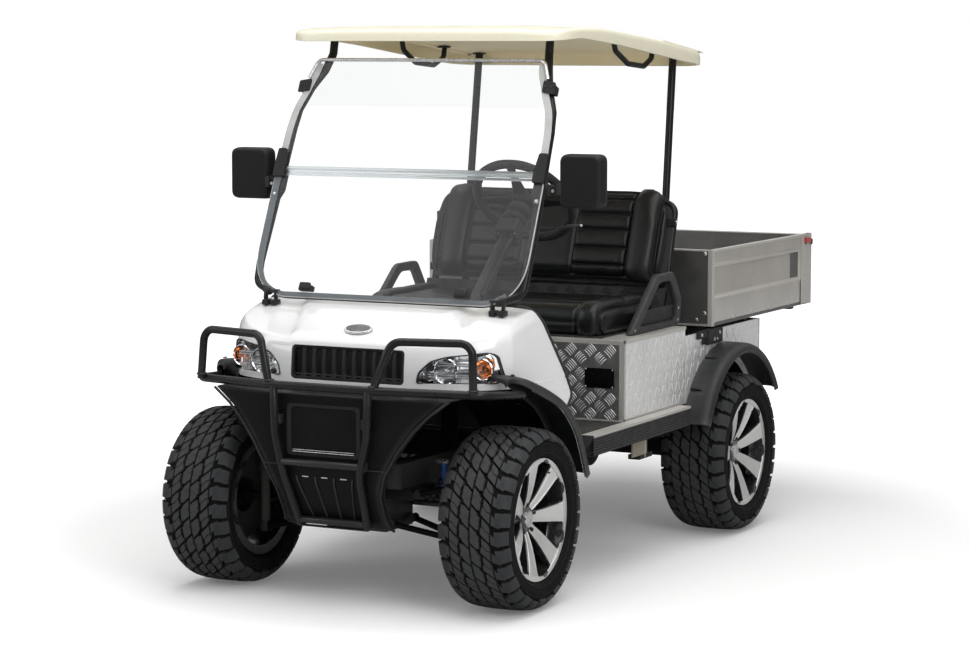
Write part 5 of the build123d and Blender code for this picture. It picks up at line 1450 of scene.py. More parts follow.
roof = Piece("roof_shell", "chassis", CREAM, ROOF_UNDER_PAINTED_LIGHT)
loop = []
corners = soften([(-519, 351), (519, 351), (519, 1599), (-519, 1599)], 100, n=9)
for i, p in enumerate(corners):
    q = corners[(i + 1) % len(corners)]
    gap = hypot(q[0] - p[0], q[1] - p[1])
    n = max(1, int(gap / 55))
    for k in range(n):
        loop.append((p[0] + (q[0] - p[0]) * k / n, p[1] + (q[1] - p[1]) * k / n))
MID = (0.0, 975.0)


def shrink(p, d):
    x, y = p
    hx, hy = 519.0, 624.0
    return (x * (hx - d) / hx, MID[1] + (y - MID[1]) * (hy - d) / hy)


def roof_z(x, y):
    """Height of the roof's upper face."""
    return lerp_rows(ROOF_TOP, y) - 7.0 * smooth(300, 519, abs(x))


ROOF_WALL = 9.0


def roof_rows(steps, drop=0.0):
    """Rows round the roof: (inset, share of the way from the edge's height to the face's, extra height)."""
    made = []
    for inset, share, extra in steps:
        row = []
        for p in loop:
            x, y = shrink(p, inset)
            low, high = lerp_rows(ROOF_EDGE, p[1]), roof_z(x, y) - drop
            row.append(P(x, y, (high if share == 1 else low + (high - low) * share) + extra))
        made.append(row)
    return made


def close_over(start, inset, drop, mat=0):
    """Rings from a row round the roof toward its middle, and the face that closes them."""
    made = [start]
    for f in (0.85, 0.68, 0.5, 0.32, 0.15):
        row = []
        for p in loop:
            x, y = shrink(p, inset)
            x, y = x * f, MID[1] + (y - MID[1]) * f
            row.append(P(x, y, roof_z(x, y) - drop))
        made.append(row)
    roof.grid(made, close_u=True, mat=mat)
    roof.faces(made[-1], [tuple(range(len(loop)))], mat)


rows = roof_rows([(0, 0, 0), (0, 0.30, 0), (0.4, 0.62, 0), (2.5, 0.84, 0), (8, 0.96, 0), (18, 1, 0),
                  (30, 1, 0)])
roof.grid(rows, close_u=True)
close_over(rows[-1], 30, 0.0)
# underside: lip, wall and ceiling; the wall and ceiling in a brighter, warmer copy of the cream: painted
# light on the shaded underside
under = roof_rows([(0, 0, 0), (5, 0, -1.0), (9, 0, 1.0), (10, 0.6, 0), (16, 1, 0), (40, 1, 0)], ROOF_WALL)
roof.grid(under[:3], close_u=True)
roof.grid(under[2:], close_u=True, mat=1)
close_over(under[-1], 40, ROOF_WALL, 1)
roof.done(sharp=38, weighted=False, replaces=("roof",), slot="cream_roof", merge=0.0001)

ribs = Piece("roof_ribs", "chassis", CREAM, BLACK_PLASTIC, BRIGHT, ROOF_UNDER_PAINTED_LIGHT)
# ribs under the roof in the brighter underside cream: painted light
for k in range(6):
    x = -150 + 60 * k
    rows = []
    for y in spaced(560, 1120, 12):
        z = roof_z(x, y) - 9
        h = 7 * smooth(560, 600, y) * (1 - smooth(1080, 1120, y)) + 0.4
        rows.append([P(x + a, y, z - b * h + 0.8) for a, b in ((-9, 0), (-5, 0.9), (0, 1.0), (5, 0.9),
                                                               (9, 0))])
    ribs.grid(rows, mat=3)
for side in (-1, 1):
    rows = []
    for y in spaced(420, 1540, 22):
        x = side * 452
        z = roof_z(x, y) - 9
        rows.append([P(x + a, y, z - b) for a, b in ((-16, -0.8), (-12, 7), (12, 7), (16, -0.8))])
    ribs.grid(rows, mat=3)
    for y in (1000, 1306, 1562, 470):
        z = roof_z(430, y) - 9
        ribs.bolt(P(side * 440, y, z - 4), Vector((0, 0, -1)), r=7, h=5, kind="dome", mat=1)
# raised step across the top of the rear
rows = []
for y, h in ((1208, -0.5), (1216, 5.0), (1226, 6.5), (1300, 6.8), (1420, 6.8), (1560, 6.0), (1584, 4.5),
             (1593, -0.5)):
    row = []
    for x, f in ((-508, 0.0), (-500, 0.8), (-484, 1.0), (-300, 1.05), (0, 1.1), (300, 1.05), (484, 1.0),
                 (500, 0.8), (508, 0.0)):
        row.append(P(x, y, roof_z(x, y) + (h * f if h > 0 else -0.6) - (0.6 if f == 0 else 0)))
    rows.append(row)
ribs.grid(rows)
ribs.done(sharp=38, weighted=False, slot="cream_roof")

handles = Piece("roof_grab_handles", "chassis", GRIP, BLACK_PLASTIC)
for side in (-1, 1):
    def hz(y):
        return roof_z(420, y) - 9 - 4
    pts = [(side * 418, 985, hz(985)), (side * 418, 1000, 1768), (side * 422, 1100, 1722),
           (side * 422, 1240, 1712), (side * 420, 1312, 1740), (side * 420, 1322, hz(1322))]
    handles.tube(pts, 9.5, bend=24, seg=14)
    for y in (985, 1322):
        handles.box((side * 405, y - 22, hz(y) - 4), (side * 435, y + 22, hz(y) + 4.5), r=3, mat=1)
handles.done(replaces=("roof_handles",), slot="wheel_grip")

# ---------------------------------------------------------------- pillars, screen, mirrors
SLOPE = atan2(1735 - 953, 426 - 82)
FOOT = (82.0, 953.0)


def screen_at(x, z, off=0.0):
    """A point on the screen's rear face at a height, moved off along its normal (forward and up)."""
    y = FOOT[0] + (z - FOOT[1]) / tan(SLOPE)
    return (x, y - off * sin(SLOPE), z + off * cos(SLOPE))


FRONT_PILLAR = [(430, 90, 968), (495, 117, 992), (499, 143, 1060), (496, 209, 1200), (490, 279, 1360),
                (486, 341, 1500), (479, 370, 1567), (450, 404, 1640), (424, 455, 1700), (411, 484, 1755)]
REAR_PILLAR = [(404, 1452, 645), (404, 1470, 1040), (398, 1555, 1700)]
LEAN_OUT = (0, -sin(SLOPE), cos(SLOPE))


def screen_plate(piece, side, z, outline, low, high, mat):
    """A plate parallel to the screen: (x, along the slope) outline, between two offsets from the glass."""
    a = screen_at(0, z, low)
    pts = [(side * x, u) for x, u in outline]
    piece.prism(pts if side > 0 else pts[::-1], placed((0, a[1], a[2]), (1, 0, 0), LEAN_OUT), high - low,
                r=2.5, mat=mat)


pillars = Piece("front_pillar_tubes", "chassis", POWDER, BLACK_PLASTIC, BRIGHT)
for side in (-1, 1):
    top = (side * 410, 500, roof_z(410, 500) - 12)
    pillars.tube([(side * x, y, z) for x, y, z in FRONT_PILLAR] + [top], 14, bend=34, seg=18, step=6)
    # forked foot under the pane's corner
    pillars.tube([(side * 396, 90, 968), (side * 452, 92, 970)], 9, seg=12, flat=(20, 14))
    for dx in (-19, 19):
        pillars.tube([(side * (424 + dx), 88, 972), (side * (424 + dx * 1.05), 84, 948),
                      (side * (424 + dx * 0.8), 84, 922)],
                     7, bend=20, seg=12, flat=(12, 15))
        x0 = side * (424 + dx * 0.85)
        pillars.box((x0 - 12, 68, 922), (x0 + 12, 104, 942), r=5)
    # clamp of the pane's head
    shape = soften([(440, -20), (484, -28), (484, 14), (440, 22)], 5, n=3)
    screen_plate(pillars, side, 1648, shape, 5.2, 13, 1)
    shape = soften([(446, -16), (482, -22), (482, 10), (446, 16)], 5, n=3)
    screen_plate(pillars, side, 1648, shape, -26, 0, 1)
    for dx in (452, 474):
        pillars.bolt(P(*screen_at(side * dx, 1646, 12)), Vector(LEAN_OUT), r=4.0, h=4, kind="hex", mat=1)
    # folding joint: a long black bracket round the tube, pointed below, and its bright bolt
    shape = soften([(468, 48), (508, 48), (508, -22), (500, -66), (484, -66), (468, -30)], 7, n=3)
    screen_plate(pillars, side, 1330, shape, -24, -1, 1)
    shape = soften([(476, 88), (507, 88), (510, 30), (510, -14), (467, -14), (467, 26)], 6, n=3)
    screen_plate(pillars, side, 1352, shape, 5.2, 17, 1)
    a = screen_at(side * 492, 1284, -2)
    pillars.bolt(P(*a), Vector(LEAN_OUT), r=8, h=13, kind="dome", mat=2)
    pillars.bolt(P(side * 507, screen_at(0, 1340)[1] + 16, 1332), Vector((side, 0, 0)), r=13, h=8,
                 kind="dome", mat=1)
pillars.done(sharp=40, replaces=("front_pillars",), slot="black_tube")

posts = Piece("rear_pillar_tubes", "chassis", POWDER, BRIGHT)
for side in (-1, 1):
    posts.tube([(side * x, y, z) for x, y, z in REAR_PILLAR] + [(side * 398, 1562, roof_z(398, 1562) - 11)],
               14, bend=60, seg=18, step=6)
    posts.box((side * 245.5, 1436, 610), (side * 420, 1468, 650), r=3)
    posts.box((side * 380, 1540, roof_z(398, 1562) - 15), (side * 416, 1584, roof_z(398, 1562) - 9.4), r=2)
    for z in (1120, 1180):
        posts.bolt(P(side * 404, 1470 + (z - 1040) * 0.129 - 13, z), Vector((0, -1, 0)), r=6, h=5, kind="hex",
                   mat=1)
posts.done(sharp=40, replaces=("rear_pillars",), slot="black_tube")

screen = Piece("screen_panes", "chassis", SCREEN, BLACK_PLASTIC, BRIGHT)


def pane(rows, off0, off1, r):
    """A clear pane: (x, height) corners on the screen's slope, rounded, as a closed sheet."""
    fine = soften(rows, r, n=8)
    front_ = [P(*screen_at(x, z, off1)) for x, z in fine]
    back_ = [P(*screen_at(x, z, off0)) for x, z in fine]
    n = len(fine)
    screen.faces(front_ + back_, [tuple(range(n)), tuple(range(2 * n - 1, n - 1, -1))]
                 + [(i, (i + 1) % n, n + (i + 1) % n, n + i) for i in range(n)])


def both_sides(low, rows):
    """A symmetric outline: from the middle of its lower edge up the left side, and back down the right."""
    return [(-low[0], low[1]), low] + rows + [(-x, z) for x, z in rows[::-1]]


LOWER = both_sides((395, 953), [(462, 985), (496, 1035), (505, 1090), (505, 1358)])
LOWER_IN = both_sides((395, 968), [(450, 995), (474, 1038), (479, 1090), (479, 1358)])
UPPER = both_sides((-505, 1366), [(505, 1366), (500, 1500), (490, 1567), (466, 1620), (452, 1660),
                                  (436, 1700), (420, 1735)])[1:-1]
UPPER_IN = both_sides((-479, 1366), [(479, 1366), (474, 1500), (464, 1567), (440, 1620), (427, 1655),
                                     (412, 1692), (410, 1735)])[1:-1]
pane(LOWER, 0.3, 4.8, 34)
pane(UPPER, 0.3, 4.8, 26)
screen.done(sharp=30, weighted=False, replaces=("windscreen",), slot="clear_screen", merge=0.000001)

trim = Piece("screen_trim", "chassis", BLACK_PLASTIC, BRIGHT, FROSTED, PANE_EDGE_PAINTED_HIGHLIGHT, PANE_BORDER_PAINTED_REFLECTION)
edge = soften(LOWER, 34, n=8)
start = next(i for i, p in enumerate(edge) if p[1] > 1340 and p[0] > 0)
stop = next(i for i, p in enumerate(edge) if i > start and p[1] > 1340 and p[0] < 0 and edge[i + 1][1] < 1340)
around_ = edge[stop:] + edge[:start + 1]
# the pane's polished edge as a pale opaque strip, a painted highlight, and the black seal along its foot
trim.tube([screen_at(x, z, 2.5) for x, z in around_], 1.6, seg=8, mat=3, flat=(3.4, 5.6))
inner = soften(LOWER_IN, 34, n=8)
inner = inner[stop:] + inner[:start + 1]


def edge_band(outer, inside, mat):
    """A thin opaque band over a pane's border, in front of the glass; its colour is painted light: a painted
    reflection on the lower pane's border, a painted highlight up the upper pane's sides.
    """
    rows = []
    for (x, z), (u, w) in zip(outer, inside):
        rows.append([P(*screen_at(x, z, 5.0)), P(*screen_at(x, z, 6.2)), P(*screen_at(u, w, 6.2)),
                     P(*screen_at(u, w, 5.0))])
    trim.grid(rows, close_u=True, cap=True, mat=mat)


# grey band over the lower pane's border: painted reflection
grey = [i for i, p in enumerate(around_) if p[0] < 455]
edge_band([(around_[i][0] * 0.997, around_[i][1] + 1.0) for i in grey], [inner[i] for i in grey], 4)
high = soften(UPPER, 26, n=8)
high_in = soften(UPPER_IN, 26, n=8)
# pale bands up the upper pane's sides: painted highlight
for way in (1, -1):
    pick = sorted((i for i, p in enumerate(high) if p[0] * way > 0 and 1372 < p[1] < 1725),
                  key=lambda i: high[i][1])
    edge_band([high[i] for i in pick], [high_in[i] for i in pick], 3)
foot_line = [(x, z) for x, z in around_ if z < 1030]
trim.tube([screen_at(x * 0.985, z - 1, -2.5) for x, z in foot_line], 4, seg=8, mat=0, flat=(7, 8))
for z, wide in ((1350, 9), (1372, 9)):
    trim.tube([screen_at(-504, z, 5.0), screen_at(504, z, 5.0)], 3, mat=2, flat=(4, wide), seg=8)
trim.tube([screen_at(-504, 1361, 7.0), screen_at(504, 1361, 7.0)], 3, mat=2, flat=(3, 12), seg=8)
# bright bar across the head of the screen, down to its clamps
trim.tube([screen_at(-452, 1672, 8), screen_at(-428, 1733, 8), screen_at(428, 1733, 8),
           screen_at(452, 1672, 8)], 6.0,
          bend=26, seg=12, mat=1)
# two stops on the lower edge
for side in (-1, 1):
    a = screen_at(side * 290, 985, 3)
    trim.box((a[0] - 27, a[1] - 14, a[2] - 14), (a[0] + 27, a[1] + 10, a[2] + 6), r=5, turn=("X", -20))
    trim.box((a[0] - 20, a[1] - 20, a[2] - 4), (a[0] + 20, a[1] - 4, a[2] + 18), r=5, turn=("X", -20))
trim.done(sharp=40, slot="black_plastic")

mirrors = Piece("door_mirrors", "chassis", BLACK_PLASTIC, MIRROR_GLASS, POWDER, BRIGHT)
for side in (-1, 1):
    rows = []
    for y, gx, gz in ((268, 0.80, 0.86), (269.5, 0.88, 0.91), (275, 0.95, 0.965), (288, 0.99, 0.99),
                      (308, 1.0, 1.0), (322, 0.995, 0.995), (325.5, 0.975, 0.98)):
        ring = []
        for a, b in soften([(-75, -88), (75, -88), (75, 88), (-75, 88)], 26, n=7):
            lean = 4 * (1 - gz)
            ring.append(P(side * (623 + a * gx), y, 1350 + b * gz + lean))
        rows.append(ring)
    mirrors.grid(rows, close_u=True)
    mirrors.faces(rows[0], [tuple(range(len(rows[0])))])
    inner = [P(side * (623 + a * 0.93), 322.0, 1350 + b * 0.94) for a, b in
             soften([(-75, -88), (75, -88), (75, 88), (-75, 88)], 24, n=7)]
    mirrors.grid([rows[-1], inner], close_u=True)
    mirrors.faces(inner, [tuple(range(len(inner)))], 1)
    mirrors.tube([(side * 498, 276, 1318), (side * 524, 283, 1318), (side * 556, 286, 1322)], 9, bend=20,
                 seg=12, flat=(18, 34))
    mirrors.box((side * 505, 262, 1300), (side * 520, 298, 1338), r=4, mat=0)
    mirrors.box((side * 540, 268, 1304), (side * 560, 304, 1342), r=5, mat=0)
    mirrors.bolt(P(side * 530, 268, 1318), Vector((0, -1, 0)), r=6, h=4, kind="hex", mat=3)
mirrors.done(sharp=38, replaces=("mirrors",), slot="black_plastic")
# ---------------------------------------------------------------- dash, steering column and wheel
TILT = radians(49)
DOWN = Vector((0, -sin(TILT), -cos(TILT)))
ACROSS = Vector((1, 0, 0))
RISE = DOWN.cross(ACROSS).normalized() * -1
HUB = P(265, 600, 1262)


def column_point(t, u=0.0, w=0.0):
    """A point down the column from the wheel's centre: across by u, along the wheel's plane by w."""
    return HUB + DOWN * t / 1000 + ACROSS * u / 1000 + RISE * w / 1000


def mm(v):
    """Back to the script's millimetres: across, along from the front axle, height."""
    return (v.x * 1000, v.y * 1000 - AXLE_F, v.z * 1000)


def down_lathe(piece, rows, seg=40, mat=0, closed=True, grow=(1.0, 1.0)):
    """Revolve (radius, distance down the column) rows round the column."""
    ring = []
    for k in range(seg):
        t = 2 * pi * k / seg
        ring.append([column_point(d, r * cos(t) * grow[0], r * sin(t) * grow[1]) for r, d in rows])
    piece.grid(ring, close_v=True, close_u=closed, mat=mat)


wheel = Piece("steering_wheel_dressed", "steering_wheel", GRIP, BLACK_PLASTIC, STEEL_BLACK, BRIGHT)
rim_r, grip_r = 170.0, 16.4
rows = []
for k in range(96):
    t = 2 * pi * k / 96
    out_ = ACROSS * cos(t) + RISE * sin(t)
    ring = []
    swell_ = 1.0 - 0.05 * (1 + cos(12 * t)) * 0.5
    for j in range(18):
        s = 2 * pi * j / 18
        r = grip_r * swell_
        ring.append(HUB + out_ * (rim_r + r * cos(s)) / 1000 - DOWN * (r * 0.92 * sin(s)) / 1000)
    rows.append(ring)
wheel.grid(rows, close_u=True, close_v=True)
for angle in (0, 180, 270):
    t = radians(angle)
    out_ = ACROSS * cos(t) + RISE * sin(t)
    side_ = DOWN.cross(out_).normalized()
    rows = []
    for k in range(9):
        f = k / 8
        reach = 26 + (rim_r - 30) * f
        wide = 27 - 14 * smooth(0, 0.75, f) + 7 * smooth(0.8, 1, f)
        dip = 12 * (1 - smooth(0, 0.6, f))
        ring = []
        for a, b in squircle(wide, 6.0, 16, 5.0):
            deep = DOWN * (dip * 0.2 - b * 0.75 + 3)
            ring.append(HUB + out_ * reach / 1000 + side_ * a / 1000 + deep / 1000)
        rows.append(ring)
    wheel.grid(rows, close_u=True, cap=True, mat=1)
down_lathe(wheel, [(0.5, -10), (26, -9.5), (36, -6), (40, 0), (40, 12), (34, 24), (30, 32), (30, 39.5),
                   (0.5, 39.8)], mat=1)
down_lathe(wheel, [(0.5, -12.5), (20, -12), (25, -10.5), (26, -9), (0.5, -8.5)], mat=2)
wheel.done(sharp=40, replaces=("steering_wheel",), slot="wheel_grip")

column = Piece("column_dressed", "chassis", STEEL_BLACK, BLACK_PLASTIC, BRIGHT, SPRING_STEEL)
down_lathe(column, [(30, 40.6), (42, 44), (43, 56), (36, 66), (28, 78), (26.4, 90), (26.4, 170), (24, 174),
                    (24, 529), (0.5, 530), (0.5, 40.6)], mat=1)
down_lathe(column, [(43, 92), (44, 94), (44, 101), (43, 103), (25, 103), (25, 92)], mat=1)
# shroud with its lever and key switch
where = Matrix.Translation(column_point(118)) @ Matrix((
    (ACROSS.x, RISE.x, DOWN.x, 0), (ACROSS.y, RISE.y, DOWN.y, 0), (ACROSS.z, RISE.z, DOWN.z, 0),
    (0, 0, 0, 1)))
column.prism(soften([(-34, -38), (38, -38), (44, 20), (26, 36), (-26, 36), (-38, 16)], 8, n=4), where, 58,
             r=4, mat=1)
root = column_point(126, 34, 0)
tip = root + Vector((0.205, 0.028, 0.010))
mid = root.lerp(tip, 0.55) + Vector((0, 0, -0.006))
column.tube([mm(root), mm(mid), mm(tip)], 3.6, bend=60, seg=10, mat=1)
column.tube([mm(tip - Vector((0.045, 0.006, 0.002))), mm(tip)], 5.4, seg=12, mat=1)
column.tube([mm(tip), mm(tip + Vector((0.006, 0.001, 0.0003)))], 5.0, seg=12, mat=2)
# slimmer rod and bracket beside the column
column.tube([mm(column_point(150, 30, -18)), mm(column_point(300, 34, -26)), mm(column_point(470, 30, -22))],
            7, bend=80, seg=10)
column.prism(soften([(-30, -30), (46, -30), (46, 24), (-30, 24)], 6, n=3),
             where @ Matrix.Translation((0, 0, 0.066)), 8, r=1.5, mat=0)
for u, w in ((-22, -22), (38, -22), (38, 16)):
    column.bolt(column_point(184, u, w), -DOWN, r=5, h=5, mat=2)
column.done(sharp=40, replaces=("steering_column",), slot="black_steel")

dash = Piece("dash_dressed", "chassis", BLACK_PLASTIC, STEEL_BLACK, BRIGHT, RED)


def dash_half(z):
    return min(513.0, 513.0 - max(0.0, (z - 855)) * 0.86)


DASH_SIDE = [(200, 939), (230, 936), (300, 924), (318, 912), (336, 882), (344.5, 852), (344, 800), (338, 790),
             (330, 788), (326, 781), (344, 773), (344.5, 721), (282, 721), (266, 860), (202, 934)]
rows = []
n = 44
for k in range(n + 1):
    x = -1 + 2 * k / n
    row = []
    for y, z in DASH_SIDE:
        half = dash_half(z)
        xx = x * half
        # two open shelves either side and a raised pod in front of the driver
        shelf = 0.0
        if 800 <= z < 900 and y > 320:
            for c in (-330, -110, 420):
                shelf = max(shelf, (1 - smooth(70, 84, abs(xx - c))))
        ends = 62 * smooth(410, 505, abs(xx)) if y > 290 and z > 700 else 0.0
        yy = y - 26 * shelf * (1 if 795 < z < 890 else 0) - ends
        row.append(P(xx, yy, z))
    rows.append(row)
dash.grid(rows, close_u=True, cap=True)
# instrument and switches
pod = placed((265, 337, 872), (-1, 0, 0), (0, 0.9, 0.44))
dash.prism(soften([(-62, -26), (62, -26), (62, 26), (-62, 26)], 12, n=5), pod, 7, r=2, mat=1)
for x, kind in ((90, 2), (60, 3), (30, 1)):
    dash.bolt(P(x, 340, 864), Vector((0, 0.95, 0.3)), r=8, h=6, kind="dome", mat=kind)
dash.done(sharp=34, replaces=("dashboard",), slot="black_plastic")

treadles = Piece("pedals_dressed", "chassis", STEEL_BLACK, RUBBER, BRIGHT)
for x, half in ((340, 27.5), (215, 44.5)):
    treadles.tube([(x, 436, 506), (x, 432, 560), (x, 426, 604)], 7, bend=30, seg=10, flat=(16, 9))
    treadles.box((x - 20, 430, 505.4), (x + 20, 446, 512), r=1.5)
    pad = placed((x, 442, 622), (1, 0, 0), (0, 0.66, 0.75))
    treadles.prism(soften([(-half, -26), (half, -26), (half, 26), (-half, 26)], 7, n=4), pad, 6, r=1.5)
    treadles.prism(soften([(-half + 3, -24), (half - 3, -24), (half - 3, 24), (-half + 3, 24)], 7, n=4),
                   pad @ Matrix.Translation((0, 0, 0.005)), 5, r=1.5, mat=1)
    for k in range(5):
        z = -18 + 9 * k
        treadles.prism([(-half + 7, z - 1.6), (half - 7, z - 1.6), (half - 7, z + 1.6), (-half + 7, z + 1.6)],
                       pad @ Matrix.Translation((0, 0, 0.0095)), 1.6, r=0.5, seg=1, mat=1)
treadles.done(sharp=34, replaces=("pedals",), slot="black_steel")

# ---------------------------------------------------------------- front suspension, coil shocks
coils = Piece("coil_shocks", "chassis", POWDER, BLUE, BRIGHT, SPRING_STEEL)
for side in (-1, 1):
    low = Vector((side * 300, 0, 222))
    top = Vector((side * 272.3, 0, 455))
    axis = (top - low).normalized()
    u = axis.cross(Vector((0, 1, 0))).normalized()
    w = Vector((0, 1, 0))
    turns, length = 6.5, 112.0
    helix = []
    for k in range(int(turns * 14) + 1):
        t = 2 * pi * k / 14
        h = 44 + length * k / (turns * 14)
        c = low + axis * h + u * (21.5 * cos(t)) + w * (21.5 * sin(t))
        helix.append((c.x, c.y, c.z))
    coils.tube(helix, 4.2, seg=10, mat=3)

    def shock_rings(rows, mat=0):
        """Revolve (radius, distance up the shock) rows round its axis."""
        ring = []
        for k in range(24):
            t = 2 * pi * k / 24
            d = u * cos(t) + w * sin(t)
            ring.append([P(*(low + axis * h + d * r)) for r, h in rows])
        coils.grid(ring, close_v=True, close_u=True, mat=mat)

    shock_rings([(0.5, 2), (8.8, 2), (8.8, 38), (25, 40), (25.6, 43), (25, 46), (13, 47), (13, 110), (7, 112),
                 (7, 150), (24, 157), (24.6, 159), (24, 161), (12, 162), (12, 200), (8.8, 204), (8.8, 230),
                 (0.5, 231)], mat=1)
    coils.tube([(side * 262.5, 0, 455), (side * 284, 0, 455)], 8.8, seg=14, mat=2)
    coils.tube([(side * 246, 0, 455), (side * 262, 0, 455)], 8.6, seg=14, mat=2)
coils.done(sharp=40, replaces=("front_shocks",), slot="shock_steel")
# ---------------------------------------------------------------- seats: swollen cushions with sewn channels
def swollen(name, rows, voxel=8.0, cap=12.0, pressure=4.0):
    """A closed rough form, remeshed, blown up a little by cloth pressure and subdivided."""
    rough = Piece(name, "chassis", LEATHER)
    rough.grid(rows, close_u=True, cap=True)
    bm = rough.bm
    bmesh.ops.remove_doubles(bm, verts=bm.verts, dist=0.0001)
    bmesh.ops.recalc_face_normals(bm, faces=bm.faces)
    mesh = bpy.data.meshes.new(name)
    bm.to_mesh(mesh)
    bm.free()
    mesh.materials.append(LEATHER)
    obj = bpy.data.objects.new(name, mesh)
    bpy.context.collection.objects.link(obj)
    m = obj.modifiers.new("voxels", "REMESH")
    m.mode = "VOXEL"
    m.voxel_size = voxel / 1000
    bake(obj)
    start = [v.co.copy() for v in obj.data.vertices]
    m = obj.modifiers.new("cloth", "CLOTH")
    m.settings.quality = 5
    m.settings.mass = 0.3
    m.settings.tension_stiffness = 18
    m.settings.compression_stiffness = 18
    m.settings.shear_stiffness = 8
    m.settings.bending_stiffness = 2
    m.settings.use_pressure = True
    m.settings.uniform_pressure_force = pressure
    m.settings.effector_weights.gravity = 0
    m.collision_settings.use_collision = False
    m.collision_settings.use_self_collision = False
    m.point_cache.frame_start, m.point_cache.frame_end = 1, 20
    for frame_number in range(1, 21):
        bpy.context.scene.frame_set(frame_number)
    bake(obj)
    bpy.context.scene.frame_set(1)
    for v, was in zip(obj.data.vertices, start):
        move = v.co - was
        if move.length > cap / 1000:
            v.co = was + move.normalized() * cap / 1000
    m = obj.modifiers.new("even", "SMOOTH")
    m.factor, m.iterations = 0.5, 6
    m = obj.modifiers.new("finer", "SUBSURF")
    m.levels = m.render_levels = 1
    bake(obj)
    return obj


def groove(d, wide, deep):
    """Depth of a sewn seam at a distance from its line: a sharp valley with rolled shoulders."""
    d = abs(d)
    return deep * exp(-(d / wide) ** 2) + 0.45 * deep * exp(-(d / (3.2 * wide)) ** 2)


def pillow(a, b, t):
    """1 in the middle between two seams, 0 at each."""
    if t <= a or t >= b:
        return 0.0
    s = (t - a) / (b - a)
    return (4 * s * (1 - s)) ** 0.6


def sewn(obj, local, depth):
    """Move each point along its normal by the depth function of its local place."""
    mesh = obj.data
    normals = [v.normal.copy() for v in mesh.vertices]
    for v, n in zip(mesh.vertices, normals):
        u, w, t, facing = local(v.co, n)
        v.co -= n * depth(u, w, t, facing) / 1000
    mesh.shade_smooth()


# backrest, built in a frame that leans with it
BACK_FOOT = P(0, 1281, 925)
BACK_UP = (P(0, 1409, 1283) - BACK_FOOT).normalized()
BACK_OUT = Vector((0, -BACK_UP.z, BACK_UP.y))          # toward the driver's back


def back_point(x, v, w):
    return BACK_FOOT + Vector((x / 1000, 0, 0)) + BACK_UP * v / 1000 + BACK_OUT * w / 1000


outline = soften([(-462, 10), (462, 10), (480, 120), (478, 250), (448, 348), (330, 366), (-330, 366),
                  (-448, 348), (-478, 250), (-480, 120)], 60, n=6)
rows = []
for w, f in ((-38, 0.93), (-34, 0.965), (-20, 0.99), (0, 1.0), (16, 0.985), (25, 0.95), (30, 0.90)):
    row = []
    for x, v in outline:
        taper = 1.0 - 0.38 * smooth(150, 366, v)
        u, t = x * f, 188 + (v - 188) * (1 - (1 - f) * 2.0)
        row.append(back_point(u, t, (w if w > 0 else w * 0.8) * taper + 4 * smooth(120, 366, v)))
    rows.append(row)
backrest = swollen("backrest", rows, cap=10)

BACK_RIBS = [21, 65, 131, 200, 260, 318]
PANEL_X = (108.0, 324.0)
BOLSTER_X = 436.0


def back_local(co, n):
    d = co - BACK_FOOT
    return d.x * 1000, d.dot(BACK_UP) * 1000, d.dot(BACK_OUT) * 1000, n.dot(BACK_OUT)


def back_depth(x, v, w, facing):
    face = smooth(0.1, 0.55, facing)
    a = abs(x - 12)
    curve = 10 * smooth(280, 360, v)                       # seams bend outward toward the top
    inner, outer, edge = PANEL_X[0], PANEL_X[1] + curve, BOLSTER_X + curve * 0.6
    low, high = smooth(-4, 16, v), 1 - smooth(338, 352, v)
    deep = 0.0
    deep += groove(a - inner, 3.4, 7.5) * low * high
    deep += groove(a - outer, 4.2, 12.0) * low
    deep += groove(a - edge, 4.2, 9.0)
    deep += groove(v - 346, 3.4, 5.0) * (1 if a < outer else 0)
    if inner < a < outer:
        edge_in = smooth(0, 10, min(a - inner, outer - a))
        for rib in BACK_RIBS:
            deep += groove(v - rib, 3.0, 8.0) * edge_in
        stops = [0] + BACK_RIBS + [346]
        for lo, hi in zip(stops, stops[1:]):
            deep -= 5.0 * pillow(lo, hi, v) * edge_in
    deep -= 17.0 * pillow(outer, edge, a) * low
    deep -= 3.0 * pillow(edge, edge + 60, a)
    if a < outer:
        deep += 7.0 * low * high
    return deep * face


sewn(backrest, back_local, back_depth)
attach(backrest, "chassis")
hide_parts("seat_back")

# seat cushion
outline = soften([(-478, 775), (478, 775), (484, 900), (482, 1246), (-482, 1246), (-484, 900)], 48, n=6)
rows = []
for z, f in ((789, 0.955), (794, 0.985), (815, 1.0), (852, 1.0), (874, 0.985), (886, 0.955), (892, 0.90)):
    row = []
    for x, y in outline:
        yy = 1008 + (y - 1008) * (1 - (1 - f) * 1.6)
        row.append(P(x * f, yy, z - 4 * smooth(400, 0, abs(x)) * smooth(850, 890, z)))
    rows.append(row)
cushion = swollen("seat_pad", rows, cap=10)
CUSHION_SEAM = 384.0
CUSHION_EDGE = 458.0


def pad_local(co, n):
    return co.x * 1000, co.y * 1000 - AXLE_F, co.z * 1000, max(n.z, -n.y)


def pad_depth(x, y, z, facing):
    face = smooth(0.1, 0.5, facing)
    a = abs(x)
    seam = CUSHION_SEAM - 16 * smooth(850, 780, y)
    edge = CUSHION_EDGE
    deep = groove(a - seam, 4.0, 11.0) + groove(a - edge, 4.0, 8.0)
    deep -= 11.0 * pillow(seam, edge, a)
    if a < seam:
        deep += 6.0 * smooth(760, 900, y)
        deep += groove(z - 836, 3.0, 4.5) * smooth(840, 800, y)
        deep += groove(y - 900 - 40 * (a / seam) ** 2, 4.0, 4.0) * smooth(855, 880, z)
    return deep * face


sewn(cushion, pad_local, pad_depth)
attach(cushion, "chassis")
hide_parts("seat_cushion")

